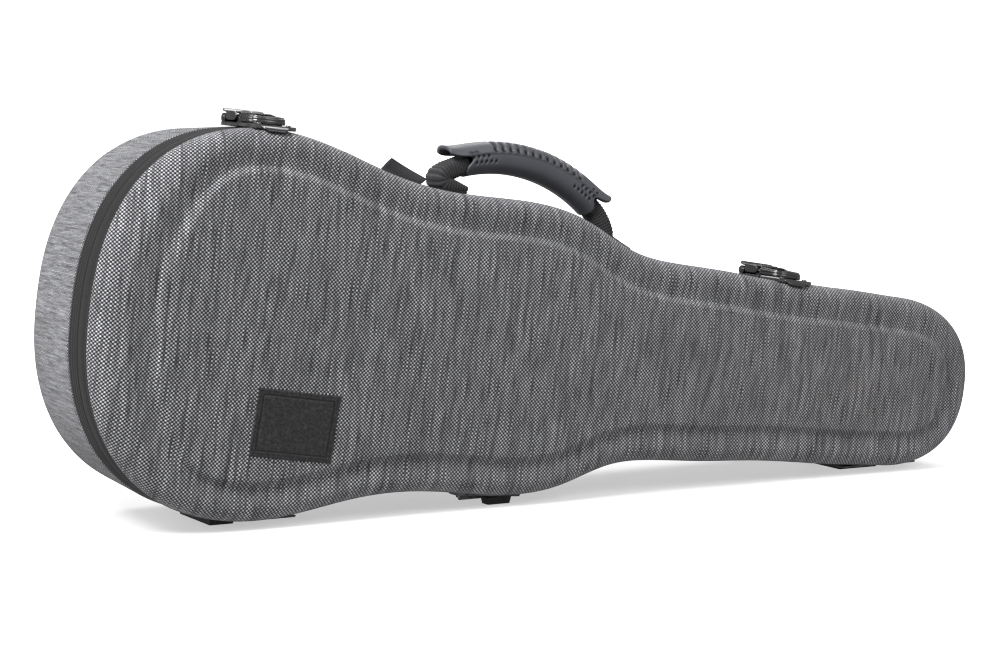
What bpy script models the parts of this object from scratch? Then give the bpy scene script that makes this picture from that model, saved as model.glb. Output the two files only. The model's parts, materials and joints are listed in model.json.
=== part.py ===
"""Shaped violin case: two fabric-covered shells, three hinges, two draw latches, a carrying handle.

Row frame: the case stands on its feet with its lid facing -Y.  X runs along the hinge line towards the neck
end, Z is up, and the origin is the centre of the sole of the foot under the lower bout.

Most pieces are built in case coordinates (x = u along the case from the lower-bout end, y = w away from the
seam plane with the base at +w, z = v across the case), which the tilted empty "case_frame" carries.
"""
import math

import bmesh
import bpy
import numpy as np
from mathutils import Matrix, Vector

MM = 0.001

# ---------------------------------------------------------------- driving dimensions
CASE_LENGTH = 790 * MM
LOWER_END = 125 * MM            # length of the rounded lower-bout end
NECK_END = 85 * MM              # length of the rounded neck end
LOWER_EXPONENT = 2.31           # superellipse exponents of the two ends
NECK_EXPONENT = 2.32
# half-widths of the outline at stations along u, joined by a clamped cubic spline
FLANK = (
    (0.125, 0.1376), (0.220, 0.1168), (0.280, 0.1094), (0.330, 0.1098), (0.390, 0.1013),
    (0.440, 0.0812), (0.500, 0.0759), (0.560, 0.0726), (0.620, 0.0709), (0.705, 0.0693),
)
FLANK_END_SLOPE = -0.07
END_STEPS = 10                  # facets of each quarter of a rounded end
FLANK_STEPS = 13                # facets of each flank

LID_DEPTH = 36 * MM             # seam plane to the front of the lid
BASE_DEPTH = 110 * MM           # seam plane to the back of the base
SHELL_WALL = 4 * MM
DRAFT = 0.05                    # side walls lean in by this much per depth
LID_SHOULDER = 17 * MM          # depth of the rounded shoulder of the lid
LID_SHOULDER_IN = 20 * MM       # how far that shoulder rolls inwards
BASE_SHOULDER = 28 * MM

BAND_WIDTH = 16 * MM            # each rim band, seam plane to fabric
BAND_PROUD = 0.3 * MM           # bands stand proud of the fabric
BAND_INSET = 4 * MM             # and reach this far inwards
GAP = 0.3 * MM                  # clearance between neighbouring pieces

CASE_TILT = math.radians(6.72)  # the neck end sits lower than the lower bout
SEAM_Y = -28 * MM
CASE_ORIGIN = (-109 * MM, SEAM_Y, 158.4 * MM)

HINGE_Z = 5.4 * MM              # height of the hinge axis over the floor
RIM_FLAT_Z = 5.9 * MM           # the bands are planed flat at this height
KNUCKLE_RADIUS = 2.3 * MM
KNUCKLE_BORE = 1.2 * MM
HINGE_PIN_RADIUS = 1.05 * MM
LEAF_THICKNESS = 1.0 * MM
LEAF_TOP = 0.2 * MM             # upper face of the leaves, from the hinge axis
# each hinge: first x of the knuckles, first and last x of its leaves, height of their upper face at these two
# ends, their thickness.  The middle hinge sits under the waist, where the bands are higher and slope, so its
# leaves are thick and follow that slope.
HINGES = (
    (13 * MM, 11 * MM, 50 * MM, LEAF_TOP, LEAF_TOP, LEAF_THICKNESS),
    (196 * MM, 183 * MM, 242 * MM, 8.2 * MM, 4.0 * MM, 4.2 * MM),
    (609 * MM, 556 * MM, 634 * MM, LEAF_TOP, LEAF_TOP, LEAF_THICKNESS),
)
KNUCKLE_LENGTH = 7.7 * MM
KNUCKLES = 3
LEAF_REACH = 15.5 * MM

LATCH_U = (118 * MM, 594.5 * MM)
LATCH_WIDTH = 33 * MM
LATCH_PLATE_LENGTH = 26 * MM
LATCH_PLATE = 3 * MM
LEVER_PIVOT = (6.0 * MM, 6.2 * MM)   # across the seam and above the band, in latch coordinates
BAIL_PIVOT = (14.0 * MM, 6.4 * MM)
LATCH_PIN_RADIUS = 1.0 * MM
LATCH_BORE = 1.35 * MM
LATCH_BARREL = (24.0 * MM, 6.0 * MM)
LATCH_BARREL_RADIUS = 3.2 * MM
LATCH_SEAM_GAP = 0.8 * MM       # each half of a latch stays this far from the seam plane
LATCH_EAR = (9 * MM, 12 * MM)   # inner and outer face of the ears that carry the lever
LATCH_ARM = (12.7 * MM, 14.9 * MM)   # inner and outer face of the bail's arms

HANDLE_W = 36 * MM              # the handle stands this far behind the seam plane
GRIP_ARC = ((0.300, 0.1318), (0.348, 0.1412), (0.437, 0.1100))  # (u, v) of the grip's centreline
GRIP_THICKNESS = 24.5 * MM
GRIP_BREADTH = 25 * MM
HANDLE_ANCHOR_U = (289 * MM, 452 * MM)
ANCHOR_LENGTH = 42 * MM
ANCHOR_BREADTH = 26 * MM
ANCHOR_THICKNESS = 2.5 * MM
SCREW_X, SCREW_Y = 14 * MM, 8 * MM   # the two screws of an anchor, from its centre
SCREW_HEAD = (3.0 * MM, 1.8 * MM, 1.2 * MM)   # lower and upper radius, height
STRAP_FOOT_U = (292 * MM, 443 * MM)  # where the webbing leaves its anchors

LINING_FOAM = 14 * MM
CAVITY_DEPTH = 92 * MM
LID_FOAM = 6 * MM

LABEL_CORNER = (122 * MM, -90 * MM)
LABEL_SIZE = (66 * MM, 49 * MM)
LABEL_TURN = math.radians(2.0)
LABEL_THICKNESS = 0.8 * MM

# ---------------------------------------------------------------- colours: linear RGB, roughness, metallic
FABRIC = ((0.14, 0.14, 0.15), 0.9, 0.0)
BAND_TEXTILE = ((0.035, 0.035, 0.037), 0.8, 0.0)
RUBBER = ((0.018, 0.018, 0.02), 0.6, 0.0)
GRIP_RUBBER = ((0.045, 0.046, 0.05), 0.5, 0.0)
WEBBING = ((0.02, 0.02, 0.022), 0.85, 0.0)
GUNMETAL = ((0.09, 0.09, 0.09), 0.3, 1.0)
HINGE_STEEL = ((0.05, 0.05, 0.05), 0.45, 1.0)
STEEL = ((0.5, 0.5, 0.5), 0.3, 1.0)
LEATHER = ((0.03, 0.03, 0.032), 0.55, 0.0)
PLUSH = ((0.09, 0.09, 0.1), 0.95, 0.0)
BLACK_PLASTIC = ((0.02, 0.02, 0.02), 0.4, 0.0)


def material(name, finish):
    colour, roughness, metallic = finish
    mat = bpy.data.materials.new(name)
    mat.use_nodes = True
    shader = mat.node_tree.nodes["Principled BSDF"]
    shader.inputs["Base Color"].default_value = (*colour, 1.0)
    shader.inputs["Roughness"].default_value = roughness
    shader.inputs["Metallic"].default_value = metallic
    mat.diffuse_color = (*colour, 1.0)
    return mat


def empty(name, parent=None, location=(0, 0, 0), rotation=(0, 0, 0)):
    obj = bpy.data.objects.new(name, None)
    bpy.context.scene.collection.objects.link(obj)
    obj.parent = parent
    obj.location = location
    obj.rotation_euler = rotation
    bpy.context.view_layer.update()
    return obj


def add_part(name, bm, parent, finish, built_in=None, smooth_angle=35):
    """One sub-part.  Its mesh was built in the coordinates of built_in and is kept in those of its parent."""
    if built_in is not None and built_in is not parent:
        bm.transform(parent.matrix_world.inverted() @ built_in.matrix_world)
    bmesh.ops.recalc_face_normals(bm, faces=bm.faces)
    mesh = bpy.data.meshes.new(name)
    bm.to_mesh(mesh)
    bm.free()
    mesh.shade_smooth()
    mesh.set_sharp_from_angle(angle=math.radians(smooth_angle))
    mesh.materials.append(material(name + "_finish", finish))
    obj = bpy.data.objects.new(name, mesh)
    bpy.context.scene.collection.objects.link(obj)
    obj.parent = parent
    bpy.context.view_layer.update()
    return obj


# ---------------------------------------------------------------- outline of the case
def flank_spline():
    """Second derivatives of the clamped cubic spline through the flank stations."""
    u, h = np.array(FLANK).T
    n = len(u)
    step = np.diff(u)
    slope = np.diff(h) / step
    matrix = np.zeros((n, n))
    right = np.zeros(n)
    matrix[0, 0], matrix[0, 1] = 2 * step[0], step[0]
    right[0] = 6 * slope[0]
    for i in range(1, n - 1):
        matrix[i, i - 1], matrix[i, i], matrix[i, i + 1] = step[i - 1], 2 * (step[i - 1] + step[i]), step[i]
        right[i] = 6 * (slope[i] - slope[i - 1])
    matrix[-1, -2], matrix[-1, -1] = step[-1], 2 * step[-1]
    right[-1] = 6 * (FLANK_END_SLOPE - slope[-1])
    return u, h, np.linalg.solve(matrix, right)


SPLINE = flank_spline()


def flank_half_width(u):
    knots, h, second = SPLINE
    i = int(np.clip(np.searchsorted(knots, u) - 1, 0, len(knots) - 2))
    step = knots[i + 1] - knots[i]
    a, b = (knots[i + 1] - u) / step, (u - knots[i]) / step
    return (
        a * h[i] + b * h[i + 1]
        + ((a**3 - a) * second[i] + (b**3 - b) * second[i + 1]) * step**2 / 6
    )


def half_width(u):
    """Half-width of the case at distance u from its lower-bout end."""
    if u < LOWER_END:
        rest = 1 - ((LOWER_END - u) / LOWER_END) ** LOWER_EXPONENT
        return FLANK[0][1] * rest ** (1 / LOWER_EXPONENT)
    neck_start = CASE_LENGTH - NECK_END
    if u > neck_start:
        rest = 1 - ((u - neck_start) / NECK_END) ** NECK_EXPONENT
        return FLANK[-1][1] * max(rest, 0) ** (1 / NECK_EXPONENT)
    return flank_half_width(u)


def upper_outline():
    points = []
    for i in range(END_STEPS):
        t = math.pi / 2 * i / END_STEPS
        points.append((
            LOWER_END * (1 - math.cos(t) ** (2 / LOWER_EXPONENT)),
            FLANK[0][1] * math.sin(t) ** (2 / LOWER_EXPONENT),
        ))
    neck_start = CASE_LENGTH - NECK_END
    for i in range(FLANK_STEPS + 1):
        u = LOWER_END + (neck_start - LOWER_END) * i / FLANK_STEPS
        points.append((u, flank_half_width(u)))
    for i in range(1, END_STEPS + 1):
        t = math.pi / 2 * i / END_STEPS
        points.append((
            neck_start + NECK_END * math.sin(t) ** (2 / NECK_EXPONENT),
            FLANK[-1][1] * max(math.cos(t), 0.0) ** (2 / NECK_EXPONENT),
        ))
    return points


def outline_with_normals():
    upper = upper_outline()
    ring = np.array(upper + [(u, -v) for u, v in upper[-2:0:-1]])
    tangent = np.roll(ring, -1, 0) - np.roll(ring, 1, 0)
    inward = np.stack([tangent[:, 1], -tangent[:, 0]], 1)
    return ring, inward / np.linalg.norm(inward, axis=1)[:, None]


OUTLINE, INWARD = outline_with_normals()


def inset_outline(inset):
    return OUTLINE + INWARD * inset


# ---------------------------------------------------------------- mesh helpers
def ring_solid(profile, side, closed=False):
    """A solid that follows the outline.  profile lists (inset, depth) rings; an open chain is capped."""
    bm = bmesh.new()
    loops = []
    for inset, depth in profile:
        loops.append([bm.verts.new((u, side * depth, v)) for u, v in inset_outline(inset)])
    pairs = list(zip(loops, loops[1:]))
    if closed:
        pairs.append((loops[-1], loops[0]))
    for a, b in pairs:
        for i in range(len(a)):
            j = (i + 1) % len(a)
            bm.faces.new((a[i], a[j], b[j], b[i]))
    if not closed:
        bm.faces.new(loops[0])
        bm.faces.new(loops[-1])
    return bm


def shoulder(inset, depth, run_in, run_depth, steps):
    """Rings of a rounded shoulder that starts at (inset, depth)."""
    rings = []
    for i in range(steps + 1):
        angle = math.pi / 2 * i / steps
        rings.append((inset + run_in * (1 - math.cos(angle)), depth + run_depth * math.sin(angle)))
    return rings


def box(low, high):
    bm = bmesh.new()
    bmesh.ops.create_cube(bm, size=1.0)
    low, high = Vector(low), Vector(high)
    size = high - low
    bm.transform(Matrix.Translation((low + high) / 2) @ Matrix.Diagonal((*size, 1.0)))
    return bm


def bevelled(bm, width, segments=2):
    bmesh.ops.bevel(bm, geom=bm.edges, offset=width, segments=segments, affect="EDGES", clamp_overlap=True)
    return bm


def rod(centre, radius, length, axis, segments=16):
    """A cylinder round its centre, along axis "X" or "Y"."""
    turn = Matrix.Rotation(math.pi / 2, 4, "Y" if axis == "X" else "X")
    bm = bmesh.new()
    bmesh.ops.create_cone(
        bm, cap_ends=True, segments=segments, radius1=radius, radius2=radius, depth=length,
        matrix=Matrix.Translation(centre) @ turn,
    )
    return bm


def rod_x(centre, radius, x_low, x_high):
    """A cylinder along x round (y, z) = centre."""
    return rod(((x_low + x_high) / 2, *centre), radius, x_high - x_low, "X")


def prism(outline, axis, low, high):
    """Extrudes a closed 2-D outline along an axis; the outline holds the other two coordinates in order."""
    bm = bmesh.new()

    def place(point, level):
        values = list(point)
        values.insert(axis, level)
        return values

    first = [bm.verts.new(place(p, low)) for p in outline]
    face = bm.faces.new(first)
    made = bmesh.ops.extrude_face_region(bm, geom=[face])
    shift = [0.0, 0.0, 0.0]
    shift[axis] = high - low
    verts = [g for g in made["geom"] if isinstance(g, bmesh.types.BMVert)]
    bmesh.ops.translate(bm, verts=verts, vec=shift)
    bmesh.ops.recalc_face_normals(bm, faces=bm.faces)
    return bm


def combined(bm, tools, operation):
    """bm joined with, or cut by, each tool through an exact Boolean."""
    for tool in tools:
        pair = []
        for source in (bm, tool):
            bmesh.ops.recalc_face_normals(source, faces=source.faces)
            mesh = bpy.data.meshes.new("operand")
            source.to_mesh(mesh)
            source.free()
            obj = bpy.data.objects.new("operand", mesh)
            bpy.context.scene.collection.objects.link(obj)
            pair.append(obj)
        body, other = pair
        modifier = body.modifiers.new("combine", "BOOLEAN")
        modifier.operation = operation
        modifier.solver = "EXACT"
        modifier.object = other
        bpy.context.view_layer.update()
        result = body.evaluated_get(bpy.context.evaluated_depsgraph_get()).to_mesh()
        bm = bmesh.new()
        bm.from_mesh(result)
        for obj in pair:
            mesh = obj.data
            bpy.data.objects.remove(obj)
            bpy.data.meshes.remove(mesh)
    return bm


# ---------------------------------------------------------------- shells, rims and linings
def lid_shell(parent, frame):
    start = BAND_WIDTH + GAP
    turn = LID_DEPTH - LID_SHOULDER
    lean = DRAFT * (turn - start)
    outer = [(0.0, start)] + shoulder(lean, turn, LID_SHOULDER_IN, LID_SHOULDER, 5)
    inner = [(SHELL_WALL, start)] + shoulder(
        lean + SHELL_WALL, turn, LID_SHOULDER_IN - SHELL_WALL, LID_SHOULDER - SHELL_WALL, 3)
    bm = ring_solid(outer[::-1] + inner, -1)
    return add_part("lid_shell", bm, parent, FABRIC, frame)


def base_shell(frame):
    start = BAND_WIDTH + GAP
    turn = BASE_DEPTH - BASE_SHOULDER
    lean = DRAFT * (turn - start)
    outer = [(0.0, start)] + shoulder(lean, turn, BASE_SHOULDER, BASE_SHOULDER, 5)
    inner = [(SHELL_WALL, start)] + shoulder(
        lean + SHELL_WALL, turn, BASE_SHOULDER - SHELL_WALL, BASE_SHOULDER - SHELL_WALL, 3)
    bm = ring_solid(outer[::-1] + inner, 1)
    return add_part("base_shell", bm, frame, FABRIC)


def hinge_reliefs():
    """World-space blocks that the rims give up: a flat along the bottom, leaf seats and knuckle pockets."""
    reach = BAND_WIDTH + 2 * GAP
    below = -20 * MM
    blocks = [box((-120 * MM, SEAM_Y - reach, below), (700 * MM, SEAM_Y + reach, RIM_FLAT_Z))]
    half_pocket = KNUCKLE_RADIUS + 0.5 * MM
    for x_knuckle, x_low, x_high, top_low, top_high, _ in HINGES:
        seat = [
            (x_low - GAP, below), (x_high + GAP, below),
            (x_high + GAP, HINGE_Z + top_high + GAP), (x_low - GAP, HINGE_Z + top_low + GAP),
        ]
        blocks.append(prism(seat, 1, SEAM_Y - reach, SEAM_Y + reach))
        x_end = x_knuckle + KNUCKLES * KNUCKLE_LENGTH
        blocks.append(box(
            (x_knuckle - 1 * MM, SEAM_Y - half_pocket, below),
            (x_end + 2 * MM, SEAM_Y + half_pocket, HINGE_Z + KNUCKLE_RADIUS + GAP),
        ))
    return blocks


def rim_band(name, side, parent, frame):
    profile = [
        (-BAND_PROUD, GAP), (-BAND_PROUD, BAND_WIDTH), (BAND_INSET, BAND_WIDTH), (BAND_INSET, GAP),
    ]
    bm = ring_solid(profile, side, closed=True)
    to_case = frame.matrix_world.inverted()
    tools = hinge_reliefs()
    for tool in tools:
        tool.transform(to_case)
    bm = combined(bm, tools, "DIFFERENCE")
    return add_part(name, bm, parent, BAND_TEXTILE, frame)


def rim_seal(frame):
    near, far = BAND_INSET + GAP, BAND_INSET + 2.8 * MM
    profile = [(near, GAP), (near, 3 * MM), (far, 3 * MM), (far, GAP)]
    return add_part("rim_seal", ring_solid(profile, 1, closed=True), frame, RUBBER)


def base_lining(frame):
    turn = BASE_DEPTH - BASE_SHOULDER
    skin = SHELL_WALL + 2 * GAP
    lean = DRAFT * (turn - BAND_WIDTH)
    notch = skin + 2.6 * MM
    outer = [(notch, 0.6 * MM), (notch, 3.6 * MM), (skin, 3.6 * MM), (skin, BAND_WIDTH)]
    outer += shoulder(lean + skin, turn, BASE_SHOULDER - skin, BASE_SHOULDER - skin, 3)
    wall = skin + LINING_FOAM
    inner = [(wall, 0.6 * MM), (wall + lean, CAVITY_DEPTH - 14 * MM), (wall + lean + 14 * MM, CAVITY_DEPTH)]
    return add_part("base_lining", ring_solid(outer[::-1] + inner, 1), frame, PLUSH)


def lid_lining(parent, frame):
    turn = LID_DEPTH - LID_SHOULDER
    skin = SHELL_WALL + 2 * GAP
    outer = [(skin, 0.6 * MM), (skin, BAND_WIDTH)]
    outer += shoulder(skin + 0.3 * MM, turn, LID_SHOULDER_IN - skin, LID_SHOULDER - skin, 2)
    wall = skin + LID_FOAM
    floor = LID_DEPTH - skin - LID_FOAM
    inner = [(wall, 0.6 * MM), (wall, floor - 6 * MM), (wall + 8 * MM, floor)]
    return add_part("lid_lining", ring_solid(outer[::-1] + inner, -1), parent, PLUSH, frame)


# ---------------------------------------------------------------- fittings inside
CAVITY_WALL = SHELL_WALL + 2 * GAP + LINING_FOAM


def cavity_half_width(u):
    """Half-width of the base cavity near its floor."""
    return half_width(u) - CAVITY_WALL - DRAFT * BASE_DEPTH


NECK_REST_U = (448 * MM, 492 * MM)
NECK_REST_TOP = 46 * MM
NECK_NOTCH = 21 * MM


def neck_rest(frame):
    """A block across the cavity with a round notch for the instrument's neck."""
    half = cavity_half_width(NECK_REST_U[1]) - 2 * MM
    steps = 8
    notch = []
    for i in range(steps + 1):
        angle = math.pi * i / steps
        notch.append((NECK_REST_TOP + NECK_NOTCH * math.sin(angle), -NECK_NOTCH * math.cos(angle)))
    floor = CAVITY_DEPTH - GAP
    edge = 12 * MM
    outline = [(NECK_REST_TOP, -half)] + notch + [
        (NECK_REST_TOP, half), (floor - edge, half), (floor, half - edge),
        (floor, edge - half), (floor - edge, -half),
    ]
    bm = prism(outline, 0, *NECK_REST_U)
    return add_part("neck_rest", bm, frame, PLUSH)


def neck_strap(frame):
    """The hook-and-loop strap that lies over the neck."""
    half = cavity_half_width(NECK_REST_U[1]) - 3 * MM
    top = NECK_REST_TOP - 2.4 * MM
    bm = box((NECK_REST_U[0] + 6 * MM, top, -half), (NECK_REST_U[1] - 6 * MM, top + 2 * MM, half))
    return add_part("neck_strap", bevelled(bm, 0.6 * MM, 1), frame, WEBBING)


POCKET_U = 652 * MM              # where the accessory pocket begins
POCKET_TOP = 38 * MM
POCKET_WALL = 8 * MM


def pocket_divider(frame):
    """The wall between the scroll space and the accessory pocket."""
    half = cavity_half_width(POCKET_U) - 1 * MM
    floor = CAVITY_DEPTH - GAP
    edge = 12 * MM
    outline = [
        (POCKET_TOP, -half), (POCKET_TOP, half), (floor - edge, half), (floor, half - edge),
        (floor, edge - half), (floor - edge, -half),
    ]
    bm = prism(outline, 0, POCKET_U - POCKET_WALL, POCKET_U)
    return add_part("accessory_pocket_divider", bm, frame, PLUSH)


def pocket_lid_outline():
    """The cavity's rounded neck end at the level of the pocket lid."""
    ring = inset_outline(CAVITY_WALL + DRAFT * POCKET_TOP + 2 * MM)
    start = POCKET_U + 1.5 * MM
    kept = [tuple(p) for p in ring if p[0] > start + 4 * MM]
    half = abs(kept[0][1])
    return [(start, half)] + kept + [(start, -half)]


def pocket_lid(axis, frame):
    outline = pocket_lid_outline()
    low = POCKET_TOP - 3 * MM
    plate = bmesh.new()
    loop = [plate.verts.new((u, low, v)) for u, v in outline]
    face = plate.faces.new(loop)
    made = bmesh.ops.extrude_face_region(plate, geom=[face])
    verts = [g for g in made["geom"] if isinstance(g, bmesh.types.BMVert)]
    bmesh.ops.translate(plate, verts=verts, vec=(0, 3 * MM, 0))
    return add_part("accessory_pocket_lid", plate, axis, PLUSH, frame)


def pocket_pull(axis, frame):
    """A short ribbon that lifts the pocket lid."""
    tip = CASE_LENGTH - CAVITY_WALL - 10 * MM
    top = POCKET_TOP - 3 * MM - GAP
    bm = box((tip - 34 * MM, top - 1.2 * MM, -7 * MM), (tip - 8 * MM, top, 7 * MM))
    return add_part("accessory_pocket_pull", bevelled(bm, 0.3 * MM, 1), axis, WEBBING, frame)


BOW_V = (-38 * MM, 38 * MM)
BOW_CATCH_U = 118 * MM
BOW_BOSS_RADIUS = 7 * MM
BOW_BOSS_HEIGHT = 8 * MM
BOW_BUTTON = (44 * MM, 4 * MM, 10 * MM)  # length, thickness, breadth
BOW_TIP_U = 690 * MM
BOW_TIP_V = (-22.8 * MM, 22.8 * MM)
BOW_TIP_LENGTH = 40 * MM
BOW_TIP_HEIGHT = 11 * MM
LID_FLOOR = LID_DEPTH - SHELL_WALL - 2 * GAP - LID_FOAM
LID_FACE = -(LID_FLOOR - GAP)    # where fittings stand on the lid's lining


def bow_catch(index, lid, frame):
    """A turn button on a round boss: it swings over the bow's frog."""
    v = BOW_V[index]
    boss = rod((BOW_CATCH_U, LID_FACE + BOW_BOSS_HEIGHT / 2, v), BOW_BOSS_RADIUS, BOW_BOSS_HEIGHT, "Y")
    add_part(f"bow_catch_{index + 1}_boss", boss, lid, BLACK_PLASTIC, frame)
    axis = empty(f"bow_catch_{index + 1}_axis", lid)
    axis.matrix_world = frame.matrix_world @ Matrix.Translation((BOW_CATCH_U, 0, v))
    bpy.context.view_layer.update()
    length, thickness, breadth = BOW_BUTTON
    low = LID_FACE + BOW_BOSS_HEIGHT + GAP
    bar = box((-length / 2, low, -breadth / 2), (length / 2, low + thickness, breadth / 2))
    add_part(f"bow_catch_{index + 1}_button", bevelled(bar, 1.2 * MM), axis, BLACK_PLASTIC)


def bow_tip_pocket(index, lid, frame):
    """A fabric sleeve that holds the bow's tip: a low arch, open at both ends and towards the lining."""
    v = BOW_TIP_V[index]
    top = LID_FACE + BOW_TIP_HEIGHT
    inner_top = top - 2 * MM
    outline = [
        (LID_FACE, v - 12 * MM), (top, v - 9 * MM), (top, v + 9 * MM), (LID_FACE, v + 12 * MM),
        (LID_FACE, v + 9.5 * MM), (inner_top, v + 7 * MM), (inner_top, v - 7 * MM), (LID_FACE, v - 9.5 * MM),
    ]
    bm = prism(outline, 0, BOW_TIP_U, BOW_TIP_U + BOW_TIP_LENGTH)
    add_part(f"bow_tip_pocket_{index + 1}", bm, lid, PLUSH, frame)


def label_patch(lid, frame):
    width, height = LABEL_SIZE
    front = -(LID_DEPTH + GAP)
    bm = box((0, front - LABEL_THICKNESS, 0), (width, front, height))
    corner = Matrix.Translation((LABEL_CORNER[0], 0, LABEL_CORNER[1]))
    bm.transform(corner @ Matrix.Rotation(LABEL_TURN, 4, "Y"))
    add_part("label_patch", bm, lid, LEATHER, frame)


# ---------------------------------------------------------------- hinges and feet
def hinge(index, lid, hinge_line):
    """Two leaves with interleaved knuckles on one pin, in coordinates centred on the hinge axis."""
    x_knuckle, x_low, x_high, top_low, top_high, thickness = HINGES[index]
    name = f"hinge_{index + 1}"
    tubes = []
    for k in range(KNUCKLES):
        start = x_knuckle + k * (KNUCKLE_LENGTH + GAP)
        tubes.append((start, start + KNUCKLE_LENGTH))
    x_end = tubes[-1][1]
    near = KNUCKLE_RADIUS + GAP
    chamfer = 0.6 * thickness
    web_bottom = LEAF_TOP - LEAF_THICKNESS
    web_top = max(LEAF_TOP, min(top_low, top_high) - 1 * MM)

    def leaf(side, owned):
        outline = [
            (x_low, top_low), (x_high, top_high),
            (x_high - chamfer, top_high - thickness), (x_low + chamfer, top_low - thickness),
        ]
        bm = prism(outline, 1, *sorted((side * near, side * LEAF_REACH)))
        parts = []
        for k in owned:
            low, high = tubes[k]
            parts.append(rod_x((0, 0), KNUCKLE_RADIUS, low, high))
            y_low, y_high = sorted((0, side * (near + 1 * MM)))
            parts.append(box((low, y_low, web_bottom), (high, y_high, LEAF_TOP)))
            if web_top > LEAF_TOP:
                y_low, y_high = sorted((side * near, side * (near + 2 * MM)))
                parts.append(box((low, y_low, web_bottom), (high, y_high, web_top)))
        bm = combined(bm, parts, "UNION")
        bore = rod_x((0, 0), KNUCKLE_BORE, x_knuckle - KNUCKLE_LENGTH, x_end + KNUCKLE_LENGTH)
        return combined(bm, [bore], "DIFFERENCE")

    add_part(name + "_base_leaf", leaf(1, (0, 2)), hinge_line, HINGE_STEEL)
    add_part(name + "_lid_leaf", leaf(-1, (1,)), lid, HINGE_STEEL)
    pin_end = 0.5 * MM
    pin = rod_x((0, 0), HINGE_PIN_RADIUS, x_knuckle - pin_end, x_end + pin_end)
    add_part(name + "_pin", pin, hinge_line, STEEL)


# each foot: x range, y range from the seam plane, height, whether it belongs to the lid
FEET = (
    ("foot_lower", -10 * MM, 10 * MM, 2 * MM, 54 * MM, 5.6 * MM),
    ("foot_neck", 567 * MM, 608 * MM, 2 * MM, 54 * MM, 4.2 * MM),
    ("foot_middle", 213 * MM, 234 * MM, -13 * MM, -3.2 * MM, 5.4 * MM),
)


def foot(name, x_low, x_high, y_low, y_high, height, parent, root):
    """A tapered block whose sole is the floor plane."""
    inset = 1 * MM
    bm = bmesh.new()
    sole = [(x_low + inset, y_low + inset), (x_high - inset, y_low + inset),
            (x_high - inset, y_high - inset), (x_low + inset, y_high - inset)]
    top = [(x_low, y_low), (x_high, y_low), (x_high, y_high), (x_low, y_high)]
    lower = [bm.verts.new((x, SEAM_Y + y, 0.0)) for x, y in sole]
    upper = [bm.verts.new((x, SEAM_Y + y, height)) for x, y in top]
    bm.faces.new(lower[::-1])
    bm.faces.new(upper)
    for i in range(4):
        j = (i + 1) % 4
        bm.faces.new((lower[i], lower[j], upper[j], upper[i]))
    add_part(name, bm, parent, RUBBER, root)


# ---------------------------------------------------------------- latches
def latch_frame(index, frame):
    """An empty on the band, with y across the seam and z out of the case."""
    u = LATCH_U[index]
    probe = 12 * MM
    slope = math.atan2(half_width(u + probe) - half_width(u - probe), 2 * probe)
    return empty(f"latch_{index + 1}_frame", frame, (u, 0, half_width(u) + BAND_PROUD), (0, -slope, 0))


LATCH_TOP = GAP + LATCH_PLATE    # upper face of a latch's plates over the band


def latch_plate(side):
    """One of the two plates screwed to the bands; side 1 is the base's, -1 the lid's."""
    y_low, y_high = sorted((side * LATCH_SEAM_GAP, side * (LATCH_SEAM_GAP + LATCH_PLATE_LENGTH)))
    half = LATCH_WIDTH / 2
    return bevelled(box((-half, y_low, GAP), (half, y_high, LATCH_TOP)), 0.5 * MM, 1)


def latch_base_plate():
    """The base's plate with the two ears that carry the lever and the barrel that its lip rests over."""
    sunk = LATCH_TOP - 0.5 * MM
    outline = [(2 * MM, sunk), (10 * MM, sunk), (8.2 * MM, 8.6 * MM), (3.8 * MM, 8.6 * MM)]
    near, far = LATCH_EAR
    extras = [prism(outline, 0, near, far), prism(outline, 0, -far, -near)]
    extras.append(rod_x(LATCH_BARREL, LATCH_BARREL_RADIUS, -LATCH_WIDTH / 2, LATCH_WIDTH / 2))
    plate = combined(latch_plate(1), extras, "UNION")
    return combined(plate, [rod_x(LEVER_PIVOT, LATCH_BORE, -LATCH_WIDTH, LATCH_WIDTH)], "DIFFERENCE")


def latch_keeper():
    """The lid's plate with the ridge that the bail hooks over."""
    sunk = LATCH_TOP - 0.5 * MM
    ridge = [(-13 * MM, sunk), (-12.4 * MM, 5.8 * MM), (-9.8 * MM, 5.8 * MM), (-8.8 * MM, sunk)]
    return combined(latch_plate(-1), [prism(ridge, 0, -LATCH_EAR[1], LATCH_EAR[1])], "UNION")


def latch_lever():
    """A block between the ears with a thin cover that flares into a lip at its free end."""
    y0, z0 = LEVER_PIVOT
    y1, z1 = BAIL_PIVOT
    cover_start = y1 + 1.7 * MM
    web = [
        (y0, z0 - 2.6 * MM), (y1 + 1.5 * MM, z1 - 2.2 * MM), (y1 + 3.0 * MM, 9.9 * MM),
        (y0 - 1.5 * MM, 9.9 * MM), (y0 - 2.5 * MM, z0 + 0.8 * MM), (y0 - 2.0 * MM, z0 - 1.6 * MM),
    ]
    cover = [
        (cover_start, 9.6 * MM), (24 * MM, 9.9 * MM), (27.5 * MM, 11.8 * MM),
        (27.5 * MM, 12.8 * MM), (23.5 * MM, 11.4 * MM), (cover_start, 11.2 * MM),
    ]
    spine = [
        (y0 - 1.0 * MM, 9.5 * MM), (y1 + 2.5 * MM, 9.5 * MM),
        (y1 + 2.5 * MM, 11.2 * MM), (y0 - 0.5 * MM, 11.0 * MM),
    ]
    block, half = LATCH_EAR[0] - GAP, LATCH_WIDTH / 2
    lever = prism(web, 0, -block, block)
    lever = combined(lever, [prism(cover, 0, -half, half), prism(spine, 0, -block, block)], "UNION")
    bores = [rod_x(centre, LATCH_BORE, -half, half) for centre in (LEVER_PIVOT, BAIL_PIVOT)]
    return combined(lever, bores, "DIFFERENCE")


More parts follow.
